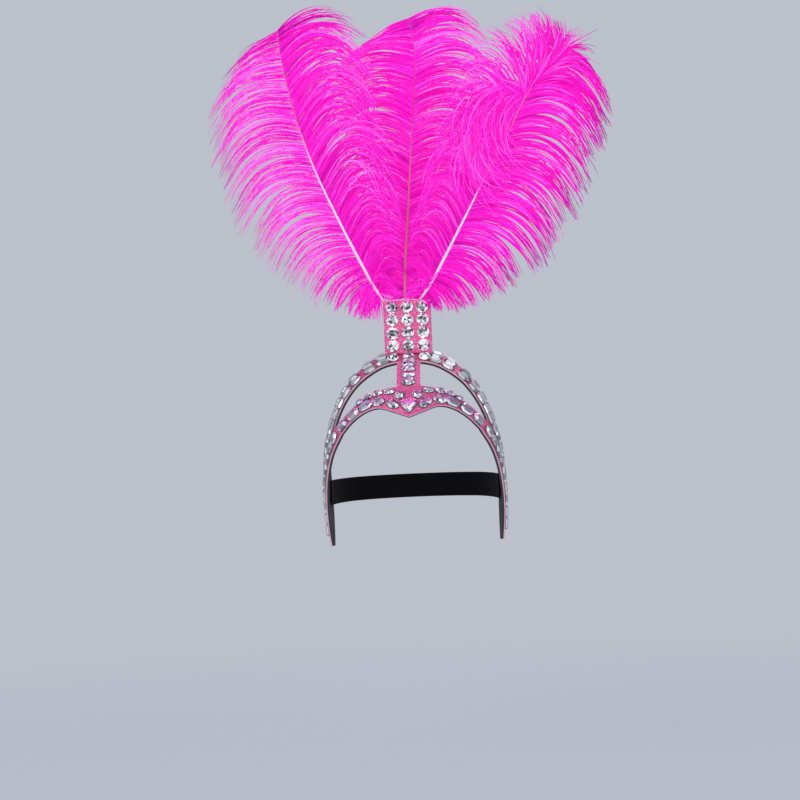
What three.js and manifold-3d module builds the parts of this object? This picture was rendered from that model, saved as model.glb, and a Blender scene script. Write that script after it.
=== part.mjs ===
// Carnival feather headdress: a foam frame faced with glitter cloth and set with acrylic stones,
// a flat holder plate standing on its crown arch, three ostrich plumes and an elastic head strap.
// Millimetres, +Z up. The wearer faces -Y. The origin is the centre of the head opening.
import * as THREE from 'three';
import Module from 'manifold-3d';

const wasm = await Module();
wasm.setup();

// Driving dimensions
const HEAD = { halfWidth: 88, halfDepth: 100, crown: 121 };
const FOAM = 2.2;
const FACING = 1;
const GAP = 0.3;
const FORK_SEAM = 1.8;

// Outline of the brow band from the centre to the fork: lower and upper edge seen from the front
const BROW_ROWS = [
  { lowX: 0, lowZ: 63, highX: 0, highZ: 92.5 },
  { lowX: 14, lowZ: 68, highX: 13, highZ: 92.5 },
  { lowX: 30, lowZ: 72.5, highX: 30, highZ: 89 },
  { lowX: 44, lowZ: 69, highX: 44, highZ: 82.5 },
  { lowX: 58, lowZ: 59.5, highX: 59, highZ: 71 },
  { lowX: 68.5, lowZ: 48.5, highX: 76.1, highZ: 52.4 },
];

// Front edge of the crown arch from its top to the fork, with the strip's backward lean in degrees
const ARCH_ROWS = [
  { x: 0, z: 118, lean: 60, width: 24 },
  { x: 15, z: 116.8, lean: 60, width: 24 },
  { x: 29.5, z: 112.5, lean: 62, width: 24 },
  { x: 51, z: 98, lean: 68, width: 22.5 },
  { x: 64, z: 82, lean: 73, width: 20 },
  { x: 72.5, z: 66, lean: 76, width: 18 },
  { x: 77.25, z: 53, lean: 76, width: 17 },
];

// Side arm below the fork: front, middle and back edge, how far it bows out from the head form
// and how far the strap pulls its back edge in
const ARM_ROWS = [
  { frontY: -40, frontZ: 28, midY: -26, midZ: 34, backY: -11, backZ: 37, bow: 0, tuck: 0.5 },
  { frontY: -22, frontZ: 5, midY: -9, midZ: 11, backY: 4, backZ: 15, bow: 1, tuck: 1.5 },
  { frontY: -8, frontZ: -20, midY: 3, midZ: -16, backY: 14, backZ: -13, bow: 2, tuck: 2 },
  { frontY: 1, frontZ: -45, midY: 8, midZ: -43, backY: 15, backZ: -41, bow: 1.6, tuck: 2 },
  { frontY: 8, frontZ: -66.5, midY: 9.5, midZ: -66.5, backY: 11, backZ: -66.5, bow: 0, tuck: 1 },
];

const POST = { halfWidth: 11.75, bottom: 93, underArch: 0.4, levels: 40 };
const PLATE = { halfWidth: 24, bottom: 129.2, top: 180.5, front: -16, hem: 126.9 };
const POCKET = 5;
const BACKING = { thickness: 2, bottom: 132.2, top: 178 };

const ROUND_STONE = { length: 12.6, width: 12.6, height: 4 };
const PLATE_STONES = { columns: 3, rows: 4, pitchX: 15.4, pitchZ: 13.1, bottom: 134.6 };
const ARCH_CENTRE_STONES = { count: 3, pitch: 16, across: 0.27, size: 12 };
const POST_STONES = { count: 5, length: 10.3, width: 13.4 };

// Stones of the brow band: place along it from the centre to the fork, and across it from low to high
const BROW_STONES = [
  { name: 'brow_flank', along: 0.225, across: 0.3, length: 14, width: 8.6, turn: -16 },
  { name: 'brow_lower_a', along: 0.4, across: 0.36, length: 13.6, width: 8.8, turn: 0 },
  { name: 'brow_lower_b', along: 0.57, across: 0.38, length: 13.4, width: 9.2, turn: 0 },
  { name: 'brow_lower_c', along: 0.745, across: 0.42, length: 13.6, width: 9.4, turn: 0 },
  { name: 'brow_lower_d', along: 0.905, across: 0.45, length: 13.4, width: 9.4, turn: 0 },
  { name: 'brow_round', along: 0.13, across: 0.67, length: 10, width: 9.6, turn: 0 },
  { name: 'brow_upper_a', along: 0.265, across: 0.81, length: 10.4, width: 6.8, turn: 0 },
  { name: 'brow_upper_b', along: 0.4, across: 0.84, length: 10.4, width: 6.2, turn: 0 },
  { name: 'brow_upper_c', along: 0.53, across: 0.87, length: 10, width: 5, turn: 0 },
  { name: 'brow_upper_d', along: 0.655, across: 0.9, length: 9.6, width: 4.4, turn: 0 },
];
const BROW_STONE_HEIGHT = 3.4;
const HEART = { width: 16.5, height: 15.5, thickness: 4.5, across: 0.37, lift: 0.3 };

// Fields of oval stones fused to their facing: rows across the strip and stones along it
const FIELD_STONE = { length: 12.8, width: 9, height: 3.8 };
const ARCH_FIELD = { first: 0.285, last: 0.94, count: 7, rows: [0.27, 0.73] };
const ARM_FIELD = [
  { along: 0.06, across: [0.25, 0.75] },
  { along: 0.16, across: [0.25, 0.75] },
  { along: 0.26, across: [0.25, 0.75] },
  { along: 0.36, across: [0.25, 0.75] },
  { along: 0.46, across: [0.26, 0.74] },
  { along: 0.56, across: [0.28, 0.72] },
  { along: 0.66, across: [0.5] },
  { along: 0.76, across: [0.5] },
];

// Elastic strap: half of its route round the back of the head
const STRAP = { low: -24, high: 1, thickness: 1.5 };
const STRAP_ROUTE = [
  { x: 85.4, y: -5 },
  { x: 83.1, y: 14 },
  { x: 77.5, y: 38 },
  { x: 64.5, y: 66 },
  { x: 37.5, y: 88 },
  { x: 0, y: 96 },
];

const QUILL = { root: 1.6, tip: 0.7, sides: 6, steps: 10 };
const LOCK = {
  perSide: 10, steps: 4, rootWidth: 20, swell: 20, tipWidth: 4, rise: 3, tipRise: 0.9, droop: 1.5,
};
const FULL_LOCK = 100;
const LOCK_LAYERS = { near: 2.5, far: 11 };
const LAST_LOCK = 0.985;

// Barb length on the outer, inner and middle-plume sides, and the angle that barbs leave the quill at
const VANE_ROWS = [
  { along: 0.0, outer: 50, inner: 20, middle: 22, spread: 72 },
  { along: 0.15, outer: 76, inner: 38, middle: 40, spread: 62 },
  { along: 0.4, outer: 102, inner: 80, middle: 74, spread: 52 },
  { along: 0.7, outer: 102, inner: 98, middle: 82, spread: 44 },
  { along: 0.9, outer: 76, inner: 82, middle: 66, spread: 34 },
  { along: 1.0, outer: 52, inner: 60, middle: 40, spread: 20 },
];

// Quill routes from inside the holder to the tip. The outer plumes bow forward, the middle one back.
const FEATHERS = [
  {
    name: 'feather_left', lean: -1, left: 'outer', right: 'inner', firstLock: 0.11,
    quill: [[-16.5, -9.5, 168], [-24.5, -9.5, 182], [-38.4, -13, 208], [-65, -19, 264.5],
      [-90.4, -24, 326], [-108, -24, 387.5], [-117.5, -17, 439.5], [-119.5, -8, 461]],
  },
  {
    name: 'feather_middle', lean: 1, left: 'middle', right: 'middle', firstLock: 0.2,
    quill: [[-2.5, -9.5, 152], [-1.5, -9.5, 183], [0.5, -6, 222], [4.2, -1, 263],
      [11.6, 8, 345.5], [17.5, 16, 413], [17, 24, 455.5], [13.6, 32, 475]],
  },
  {
    name: 'feather_right', lean: -1, left: 'inner', right: 'outer', firstLock: 0.11,
    quill: [[5.5, -9.5, 168], [14.1, -9.5, 181.5], [27.2, -12, 200], [61.2, -18, 258.7],
      [87.4, -22, 305.6], [107, -24, 338.6], [132.1, -23, 384], [156.8, -14, 412.4], [171, 0, 430]],
  },
];

const GLUE = { from: -17, to: 11.5, height: 2.6 };

const MATERIALS = {
  foam: new THREE.MeshStandardMaterial({ color: 0x45464e, roughness: 0.9 }),
  facing: new THREE.MeshStandardMaterial({ color: 0xd9508f, roughness: 0.55 }),
  crystal: new THREE.MeshStandardMaterial({ color: 0xe6e6ee, roughness: 0.08, metalness: 0.3 }),
  plume: new THREE.MeshStandardMaterial({ color: 0xff1fc4, roughness: 0.8 }),
  elastic: new THREE.MeshStandardMaterial({ color: 0x0b0b0c, roughness: 0.85 }),
  glue: new THREE.MeshStandardMaterial({ color: 0xf4eef2, roughness: 0.25 }),
};

const vector = (x, y, z) => new THREE.Vector3(x, y, z);
const mix = (a, b, t) => a + (b - a) * t;
const radians = THREE.MathUtils.degToRad;

// Closed solid through rings of equal count. Its two ends are capped rung by rung, or as a fan
// from the rings' first point where that is an inner corner.
function loft(rings, fanned = false) {
  const count = rings[0].length;
  const index = [];
  for (let i = 0; i < rings.length - 1; i++) {
    for (let k = 0; k < count; k++) {
      const a = i * count + k;
      const b = i * count + ((k + 1) % count);
      if (k < count / 2) index.push(a, b, b + count, a, b + count, a + count);
      else index.push(a, b, a + count, b, b + count, a + count);
    }
  }
  const ladder = [];
  for (let k = 0; k < count - 1 - k; k++) {
    const far = count - 1 - k;
    ladder.push([k, far, k + 1]);
    if (far - 1 > k + 1) ladder.push([k + 1, far, far - 1]);
  }
  const fan = Array.from({ length: count - 2 }, (_, k) => [0, k + 2, k + 1]);
  const cap = (base, flip) => {
    for (const [a, b, c] of fanned ? fan : ladder) {
      index.push(base + a, base + (flip ? c : b), base + (flip ? b : c));
    }
  };
  cap(0, false);
  cap((rings.length - 1) * count, true);
  const points = rings.flat();
  let volume = 0;
  for (let i = 0; i < index.length; i += 3) {
    const [a, b, c] = [points[index[i]], points[index[i + 1]], points[index[i + 2]]];
    volume += a.dot(b.clone().cross(c));
  }
  if (volume < 0) index.reverse();
  const geometry = new THREE.BufferGeometry().setFromPoints(points);
  geometry.setIndex(index);
  return geometry;
}

// One fused body from overlapping closed geometries
function join(geometries) {
  const solids = geometries.map((geometry) => new wasm.Manifold(new wasm.Mesh({
    numProp: 3,
    vertProperties: new Float32Array(geometry.getAttribute('position').array),
    triVerts: new Uint32Array(geometry.index.array),
  })));
  const mesh = solids.reduce((sum, solid) => sum.add(solid)).getMesh();
  const joined = new THREE.BufferGeometry();
  joined.setAttribute('position', new THREE.BufferAttribute(mesh.vertProperties, 3));
  joined.setIndex(new THREE.BufferAttribute(mesh.triVerts, 1));
  return joined;
}

// The head form that the frame is bent over
function headDepth(x, z) {
  const inside = 1 - (x / HEAD.halfWidth) ** 2 - (Math.max(z, 0) / HEAD.crown) ** 3;
  return -HEAD.halfDepth * Math.sqrt(Math.max(inside, 0));
}

function headSide(y, z) {
  const inside = 1 - (y / HEAD.halfDepth) ** 2 - (Math.max(z, 0) / HEAD.crown) ** 3;
  return HEAD.halfWidth * Math.sqrt(Math.max(inside, 0));
}

const onHead = (x, z) => vector(x, headDepth(x, z), z);
const mirrored = (p) => vector(-p.x, p.y, p.z);
const mirrorRows = (half) => [...half.slice(1).reverse().map((row) => row.map(mirrored)), ...half];

// Rows of points with their outward normals, from rows of points alone
function surface(rows) {
  const last = rows.length - 1;
  const side = rows[0].length - 1;
  return rows.map((row, i) => row.map((point, j) => {
    const along = rows[Math.min(i + 1, last)][j].clone().sub(rows[Math.max(i - 1, 0)][j]);
    const across = row[Math.min(j + 1, side)].clone().sub(row[Math.max(j - 1, 0)]);
    const normal = along.cross(across).normalize();
    return { point, normal };
  }));
}

// A strip of sheet between two distances from its surface
function sheet(grid, from, to) {
  const at = ({ point, normal }, d) => point.clone().addScaledVector(normal, d);
  return loft(grid.map((row) => [
    ...row.map((cell) => at(cell, from)),
    ...row.map((cell) => at(cell, to)).reverse(),
  ]));
}

// Value of a strip's points or normals at u from its first row to its last, and v across it
function onStrip(grid, key, u, v) {
  const i = THREE.MathUtils.clamp(u * (grid.length - 1), 0, grid.length - 1.0001);
  const j = THREE.MathUtils.clamp(v * (grid[0].length - 1), 0, grid[0].length - 1.0001);
  const [i0, j0] = [Math.floor(i), Math.floor(j)];
  const low = grid[i0][j0][key].clone().lerp(grid[i0 + 1][j0][key], i - i0);
  const high = grid[i0][j0 + 1][key].clone().lerp(grid[i0 + 1][j0 + 1][key], i - i0);
  return low.lerp(high, j - j0);
}

// Frame for a stone on a strip: x along it, z out of it
function seat(grid, u, v, height) {
  const reach = 0.5 / (grid.length - 1);
  const normal = onStrip(grid, 'normal', u, v).normalize();
  const along = onStrip(grid, 'point', u + reach, v).sub(onStrip(grid, 'point', u - reach, v));
  along.addScaledVector(normal, -along.dot(normal)).normalize();
  const frame = new THREE.Matrix4().makeBasis(along, normal.clone().cross(along), normal);
  return frame.setPosition(onStrip(grid, 'point', u, v).addScaledVector(normal, height));
}

// Brow band, mirrored about the centre, following the head form across its width
function browGrid() {
  const edge = (x, z) => new THREE.CatmullRomCurve3(BROW_ROWS.map((row) => vector(row[x], 0, row[z])));
  const low = edge('lowX', 'lowZ');
  const high = edge('highX', 'highZ');
  const [steps, across] = [10, 2];
  const half = [];
  for (let i = 0; i <= steps; i++) {
    const [a, b] = [low.getPoint(i / steps), high.getPoint(i / steps)];
    half.push(Array.from({ length: across + 1 }, (_, j) =>
      onHead(mix(a.x, b.x, j / across), mix(a.z, b.z, j / across))));
  }
  return mirrorRows(half);
}

// Right half of the crown arch: front edge on the head form, strip rising and leaning back from it
const archFront = new THREE.CatmullRomCurve3(ARCH_ROWS.map(({ x, z }) => vector(x, 0, z)));

function archHalf() {
  const steps = 12;
  return Array.from({ length: steps + 1 }, (_, i) => {
    const t = i / steps;
    const place = archFront.getPoint(t);
    const tangent = archFront.getTangent(t);
    const [row, share] = [Math.floor(t * (ARCH_ROWS.length - 1)), (t * (ARCH_ROWS.length - 1)) % 1];
    const next = ARCH_ROWS[Math.min(row + 1, ARCH_ROWS.length - 1)];
    const lean = radians(mix(ARCH_ROWS[row].lean, next.lean, share));
    const width = mix(ARCH_ROWS[row].width, next.width, share);
    const rise = i === 0 ? vector(0, 0, 1) : vector(-tangent.z, 0, tangent.x);
    const low = onHead(place.x, place.z);
    const high = low.clone().addScaledVector(rise, width * Math.cos(lean));
    high.y += width * Math.sin(lean);
    return [low, low.clone().lerp(high, 0.5), high];
  });
}

// Right side arm: from the fork, where brow and arch end side by side, down to its tip
function armGrid() {
  const fork = BROW_ROWS.at(-1);
  const archEnd = archHalf().at(-1);
  const onSide = (y, z, out) => vector(headSide(y, z) + out, y, z);
  const edges = [
    [onHead(fork.lowX, fork.lowZ), ...ARM_ROWS.map((r) => onSide(r.frontY, r.frontZ, r.bow))],
    [onHead(fork.highX, fork.highZ), ...ARM_ROWS.map((r) => onSide(r.midY, r.midZ, r.bow - r.tuck / 3))],
    [archEnd.at(-1), ...ARM_ROWS.map((r) => onSide(r.backY, r.backZ, r.bow - r.tuck))],
  ].map((points) => new THREE.CatmullRomCurve3(points));
  const steps = 12;
  const seamShare = FORK_SEAM / edges[1].getLength();
  return Array.from({ length: steps + 1 }, (_, i) => {
    const t = mix(seamShare, 1, i / steps);
    return edges.map((edge) => edge.getPoint(t));
  });
}

// Centre post: evenly spaced rows over the head form, its top edge following the arch above it
function postGrid() {
  const [steps, across] = [8, 2];
  const archAt = (x) => archFront.getPoint(x / ARCH_ROWS[1].x / (ARCH_ROWS.length - 1)).z;
  const line = (x) => {
    const top = archAt(Math.abs(x)) - POST.underArch;
    const levels = Array.from({ length: POST.levels + 1 }, (_, i) =>
      onHead(x, mix(POST.bottom, top, i / POST.levels)));
    return new THREE.CatmullRomCurve3(levels).getSpacedPoints(steps);
  };
  const lines = Array.from({ length: across + 1 }, (_, j) =>
    line(mix(POST.halfWidth, -POST.halfWidth, j / across)));
  return lines[0].map((_, i) => lines.map((points) => points[i]));
}

// Cut stone on its flat back: girdle wall, sloping crown facets and a flat table
const TABLE_SHARE = 0.56;
const GIRDLE_SHARE = 0.3;

const stoneRing = (outline, scale, z) => outline.map((p) => vector(p.x * scale, p.y * scale, z));

function cutStone(outline, height, fanned = false) {
  return loft([
    stoneRing(outline, 1, 0),
    stoneRing(outline, 1, height * GIRDLE_SHARE),
    stoneRing(outline, TABLE_SHARE, height),
  ], fanned);
}

function ovalOutline(length, width) {
  const sides = 8;
  return Array.from({ length: sides }, (_, k) => {
    const angle = ((k + 0.5) / sides) * 2 * Math.PI;
    return { x: (length / 2) * Math.cos(angle), y: (width / 2) * Math.sin(angle) };
  });
}

const ovalStone = ({ length, width, height }) => cutStone(ovalOutline(length, width), height);

// Heart outline from its notch, round one lobe to the point and back up the other
function heartStone({ width, height, thickness }) {
  const half = [[0, 0.3], [0.24, 0.48], [0.42, 0.38], [0.5, 0.16], [0.36, -0.14]];
  const right = half.map(([x, y]) => ({ x: x * width, y: y * height }));
  const point = { x: 0, y: -0.52 * height };
  const left = right.slice(1).reverse().map(({ x, y }) => ({ x: -x, y }));
  return cutStone([...right, point, ...left], thickness, true);
}

const headdress = new THREE.Group();
headdress.name = 'feather_headdress';

function addPiece(name, geometry, material) {
  const mesh = new THREE.Mesh(geometry, material);
  mesh.name = name;
  headdress.add(mesh);
  return mesh;
}

function addStone(name, geometry, frame) {
  const stone = addPiece(name, geometry, MATERIALS.crystal);
  stone.applyMatrix4(frame);
}

// A strip's foam, and its facing with any stones that are fused to it
function stripPieces(grid, stones = []) {
  const facing = sheet(grid, GAP, GAP + FACING);
  return {
    foam: sheet(grid, -FOAM, 0),
    facing: stones.length ? join([facing, ...stones]) : facing,
  };
}

function addStrip(name, { foam, facing }) {
  addPiece(`${name}_foam`, foam, MATERIALS.foam);
  addPiece(`${name}_facing`, facing, MATERIALS.facing);
}

const STONE_SEAT = GAP + FACING + GAP;
const FUSED_SEAT = GAP + FACING * 0.5;

// Stone fused to its facing, with its girdle sunk in the cloth
function fieldStone(grid, u, v) {
  const outline = ovalOutline(FIELD_STONE.length, FIELD_STONE.width);
  const stone = loft([stoneRing(outline, 1, 0), stoneRing(outline, TABLE_SHARE, FIELD_STONE.height)]);
  return stone.applyMatrix4(seat(grid, u, v, FUSED_SEAT));
}

// Brow band with its heart and oval stones
const brow = surface(browGrid());
addStrip('brow', stripPieces(brow));
const heartFrame = seat(brow, 0.5, HEART.across, STONE_SEAT + HEART.lift);
addStone('brow_heart', heartStone(HEART), heartFrame);
for (const stone of BROW_STONES) {
  for (const [suffix, side] of [['left', -1], ['right', 1]]) {
    const frame = seat(brow, 0.5 + (side * stone.along) / 2, stone.across, STONE_SEAT);
    frame.multiply(new THREE.Matrix4().makeRotationZ(radians(-side * stone.turn)));
    addStone(`${stone.name}_${suffix}`, ovalStone({ ...stone, height: BROW_STONE_HEIGHT }), frame);
  }
}

// Centre post with its column of round stones
const post = surface(postGrid());
addStrip('post', stripPieces(post));
for (let k = 0; k < POST_STONES.count; k++) {
  const frame = seat(post, (k + 0.5) / POST_STONES.count, 0.5, STONE_SEAT);
  addStone(`post_stone_${k + 1}`, ovalStone({ ...ROUND_STONE, ...POST_STONES }), frame);
}

// Crown arch with a double row of stones on each side and three round ones at its top
const arch = surface(mirrorRows(archHalf()));
const archStones = [];
for (let k = 0; k < ARCH_FIELD.count; k++) {
  const along = mix(ARCH_FIELD.first, ARCH_FIELD.last, k / (ARCH_FIELD.count - 1));
  for (const across of ARCH_FIELD.rows) {
    for (const side of [-1, 1]) archStones.push(fieldStone(arch, 0.5 + (side * along) / 2, across));
  }
}
addStrip('arch', stripPieces(arch, archStones));
for (let k = 0; k < ARCH_CENTRE_STONES.count; k++) {
  const { count, pitch, across, size } = ARCH_CENTRE_STONES;
  const frame = seat(arch, 0.5, across, STONE_SEAT);
  frame.premultiply(new THREE.Matrix4().makeTranslation((k - (count - 1) / 2) * pitch, 0, 0));
  addStone(`arch_stone_${k + 1}`, ovalStone({ ...ROUND_STONE, length: size, width: size }), frame);
}

// Side arms with a double column of stones that runs out towards the tip
function mirroredGeometry(geometry) {
  const copy = geometry.clone().scale(-1, 1, 1);
  copy.setIndex(Array.from(geometry.index.array).reverse());
  return copy;
}

const arm = surface(armGrid());
const armStones = ARM_FIELD.flatMap(({ along, across }) => across.map((v) => fieldStone(arm, along, v)));
const armRight = stripPieces(arm, armStones);
addStrip('arm_right', armRight);
addStrip('arm_left', { foam: mirroredGeometry(armRight.foam), facing: mirroredGeometry(armRight.facing) });

// Holder plate on the arch: faced foam in front, a pocket for the quills and a plain backing
function slab(front, thickness, bottom, top) {
  const size = [2 * PLATE.halfWidth, thickness, top - bottom];
  return new THREE.BoxGeometry(...size).translate(0, front + thickness / 2, (bottom + top) / 2);
}

const plateFoamFront = PLATE.front + FACING + GAP;
const pocketFront = plateFoamFront + FOAM;
addPiece('plate_facing', slab(PLATE.front, FACING, PLATE.hem, PLATE.top), MATERIALS.facing);
addPiece('plate_foam', slab(plateFoamFront, FOAM, PLATE.bottom, PLATE.top), MATERIALS.foam);
addPiece('plate_backing', slab(pocketFront + POCKET, BACKING.thickness, BACKING.bottom, BACKING.top),
  MATERIALS.foam);
for (let row = 0; row < PLATE_STONES.rows; row++) {
  for (let column = 0; column < PLATE_STONES.columns; column++) {
    const x = (column - (PLATE_STONES.columns - 1) / 2) * PLATE_STONES.pitchX;
    const z = PLATE_STONES.bottom + row * PLATE_STONES.pitchZ;
    const frame = new THREE.Matrix4().makeRotationX(Math.PI / 2).setPosition(x, PLATE.front - GAP, z);
    addStone(`plate_stone_${row + 1}${column + 1}`, ovalStone(ROUND_STONE), frame);
  }
}

// Bead of set glue along the top of the plate, in front of the quills
function glueBead() {
  const steps = 8;
  const middle = plateFoamFront + FOAM / 2;
  return loft(Array.from({ length: steps + 1 }, (_, i) => {
    const x = mix(GLUE.from, GLUE.to, i / steps);
    const swell = 0.35 + 0.65 * Math.sin((Math.PI * i) / steps) * (i % 2 ? 1 : 0.75);
    const half = (FOAM / 2) * (0.5 + 0.4 * swell);
    const [low, high] = [PLATE.top + GAP, PLATE.top + GAP + GLUE.height * swell];
    return [vector(x, middle - half, low), vector(x, middle - half * 0.6, high),
      vector(x, middle + half * 0.6, high), vector(x, middle + half, low)];
  }));
}
addPiece('glue_bead', glueBead(), MATERIALS.glue);

// Elastic strap from arm to arm round the back of the head
function strapGrid() {
  const half = STRAP_ROUTE.map(({ x, y }) => vector(x, y, 0));
  const route = new THREE.CatmullRomCurve3([...half, ...half.slice(0, -1).reverse().map(mirrored)]);
  const steps = 22;
  return Array.from({ length: steps + 1 }, (_, i) => {
    const p = route.getPoint(i / steps);
    return [vector(p.x, p.y, STRAP.low), vector(p.x, p.y, STRAP.high)];
  });
}
addPiece('head_strap', sheet(surface(strapGrid()), -STRAP.thickness / 2, STRAP.thickness / 2),
  MATERIALS.elastic);

// Value of one column of the vane table at a place along the quill
function vaneAt(column, along) {
  const next = Math.max(1, VANE_ROWS.findIndex((row) => row.along >= along));
  const [a, b] = [VANE_ROWS[next - 1], VANE_ROWS[next]];
  return mix(a[column], b[column], (along - a.along) / (b.along - a.along));
}

// Quill frame at a place along it: centre, direction and the direction across the vane
function quillFrame(curve, along) {
  const centre = curve.getPointAt(along);
  const tangent = curve.getTangentAt(along);
  return { centre, tangent, across: vector(tangent.z, 0, -tangent.x).normalize() };
}

// One lock of barbs: leaves the quill at the vane's angle and droops under its own weight
function lock(curve, along, side, length, layer) {
  const fullness = length / FULL_LOCK;
  const { centre, tangent, across } = quillFrame(curve, along);
  const spread = radians(vaneAt('spread', along));
  const start = tangent.clone().multiplyScalar(Math.cos(spread))
    .addScaledVector(across, side * Math.sin(spread));
  const point = centre.clone();
  const rings = [];
  for (let i = 0; i <= LOCK.steps; i++) {
    const u = i / LOCK.steps;
    const heading = start.clone().add(vector(0, 0, -LOCK.droop * u)).normalize();
    const breadth = vector(heading.z, 0, -heading.x).normalize();
    const width = mix(LOCK.rootWidth, LOCK.tipWidth, u) + LOCK.swell * fullness * Math.sin(Math.PI * u);
    const rise = mix(LOCK.rise, LOCK.tipRise, u);
    const middle = point.clone().add(vector(0, layer * Math.sin((u * Math.PI) / 2), 0));
    rings.push([
      middle.clone().addScaledVector(breadth, -width / 2),
      middle.clone().addScaledVector(breadth, width / 2),
      middle.clone().add(vector(0, Math.sign(layer) * rise, 0)),
    ]);
    point.addScaledVector(heading, length / LOCK.steps);
  }
  return loft(rings);
}

// Plume: tapered quill with locks fused along both sides in a near and a far layer
function feather({ quill, lean, left, right, firstLock }) {
  const curve = new THREE.CatmullRomCurve3(quill.map((p) => vector(...p)));
  const shaft = loft(Array.from({ length: QUILL.steps + 1 }, (_, i) => {
    const { centre, across } = quillFrame(curve, i / QUILL.steps);
    const radius = mix(QUILL.root, QUILL.tip, i / QUILL.steps);
    return Array.from({ length: QUILL.sides }, (__, k) => {
      const angle = (k / QUILL.sides) * 2 * Math.PI;
      return centre.clone().addScaledVector(across, radius * Math.cos(angle))
        .add(vector(0, radius * Math.sin(angle), 0));
    });
  }));
  const locks = [];
  for (const [side, column] of [[-1, left], [1, right]]) {
    for (let k = 0; k < LOCK.perSide; k++) {
      const along = mix(firstLock, LAST_LOCK, k / (LOCK.perSide - 1));
      const layer = lean * (k % 2 ? LOCK_LAYERS.near : LOCK_LAYERS.far);
      locks.push(lock(curve, along, side, vaneAt(column, along), layer));
    }
  }
  return join([shaft, ...locks]);
}

for (const spec of FEATHERS) addPiece(spec.name, feather(spec), MATERIALS.plume);

export default headdress;
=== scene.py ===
import math

import bpy
import numpy as np
from mathutils import Matrix, Vector


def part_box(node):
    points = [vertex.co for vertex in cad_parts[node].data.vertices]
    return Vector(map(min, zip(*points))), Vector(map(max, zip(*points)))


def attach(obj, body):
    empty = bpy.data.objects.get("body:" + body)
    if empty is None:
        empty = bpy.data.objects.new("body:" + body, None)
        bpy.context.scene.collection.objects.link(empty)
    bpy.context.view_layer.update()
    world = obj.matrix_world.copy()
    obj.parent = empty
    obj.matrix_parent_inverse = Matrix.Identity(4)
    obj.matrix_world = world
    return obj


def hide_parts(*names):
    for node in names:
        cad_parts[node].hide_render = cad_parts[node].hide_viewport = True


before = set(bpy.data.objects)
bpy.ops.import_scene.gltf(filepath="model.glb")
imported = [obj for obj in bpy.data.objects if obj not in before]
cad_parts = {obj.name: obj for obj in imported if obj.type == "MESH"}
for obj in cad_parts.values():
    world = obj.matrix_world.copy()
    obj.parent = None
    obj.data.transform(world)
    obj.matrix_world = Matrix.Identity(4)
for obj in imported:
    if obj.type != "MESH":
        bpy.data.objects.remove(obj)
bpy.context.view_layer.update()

# Carnival feather headdress. Shapes are worked out in millimetres, as on a pattern, and go into the scene
# in metres. The front faces -Y and the plumes stand along +Z.
MM = 0.001

# Rounded form that the foam strips are bent over
FORM_HALF_WIDTH = 88.0
FORM_HALF_DEPTH = 100.0
FORM_CROWN = 121.0

# Sheet stock: thickness of the foam, back and face of the cloth over it, easing of the edges of each, and
# the most that easing takes of a sheet's width or thickness
FOAM = 2.2
FOAM_ROUND = 0.0001
CLOTH_FROM = 0.02
CLOTH_TO = 1.3
EDGE_ROUND = 0.45
MOST_EASE = 0.3
NARROWEST = 0.5

# Brow band from the centre to the fork: lower and upper edge seen from the front
BROW_LOW = [(0, 63), (14, 68), (30, 72.5), (44, 69), (58, 59.5), (68.5, 48.5)]
BROW_HIGH = [(0, 92.5), (13, 92.5), (30, 89), (44, 82.5), (59, 71), (77.25, 53)]

# Crown arch from its top to the fork: front edge, backward lean in degrees and strip width
ARCH_FRONT = [(0, 118), (15, 116.8), (29.5, 112.5), (51, 98), (64, 82), (72.5, 66), (77.25, 53)]
ARCH_LEAN = [60, 60, 62, 68, 73, 76, 76]
ARCH_WIDTH = [24, 24, 24, 22.5, 20, 18, 17]

# Side arm below the fork, as depth and height: front, middle and back edge, how far it bows out
# from the rounded form and how far the strap pulls its back edge in
ARM_FRONT = [(-40, 28), (-22, 5), (-8, -20), (1, -45), (8, -66.5)]
ARM_MIDDLE = [(-26, 34), (-9, 11), (3, -16), (8, -43), (9.5, -66.5)]
ARM_BACK = [(-11, 37), (4, 15), (14, -13), (15, -41), (11, -66.5)]
ARM_BOW = [0, 1, 2, 1.6, 0]
ARM_TUCK = [0.5, 1.5, 2, 2, 1]

# Centre post: half its width and the height of its foot
POST_HALF_WIDTH = 11.75
POST_BOTTOM = 92.5

# Points on the strips: rows along half a strip and along the post, steps across, samples of a curve
HALF_ROWS = 44
POST_ROWS = 25
STRIP_ACROSS = 6
POST_SAMPLES = 60
CURVE_SAMPLES = 600

# Painted shade that darkens the glitter cloth's colour towards crimson where a strip faces away from the
# light: a little on the brow band, more on the arch and arms
BROW_PAINTED_SHADE = 0.25
SIDE_PAINTED_SHADE = 0.6

# Stones of the brow band: place along from the centre and across from low to high, length, width, turn, cut
BROW_STONES = [
    ("brow_flank", 0.225, 0.3, 14.6, 9.4, -16, "oval"),
    ("brow_lower_a", 0.4, 0.36, 15.0, 10.0, 0, "oval"),
    ("brow_lower_b", 0.57, 0.38, 15.0, 10.2, 0, "step"),
    ("brow_lower_c", 0.745, 0.42, 15.0, 10.4, 0, "step"),
    ("brow_lower_d", 0.905, 0.45, 14.6, 10.2, 0, "step"),
    ("brow_round", 0.13, 0.67, 10.4, 9.8, 0, "oval"),
    ("brow_upper_a", 0.265, 0.81, 11.4, 7.4, 0, "oval"),
    ("brow_upper_b", 0.4, 0.84, 11.4, 6.8, 0, "oval"),
    ("brow_upper_c", 0.53, 0.87, 11.0, 5.6, 0, "oval"),
    ("brow_upper_d", 0.655, 0.9, 10.6, 5.0, 0, "oval"),
]
BROW_STONE_HEIGHT = 3.6

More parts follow.
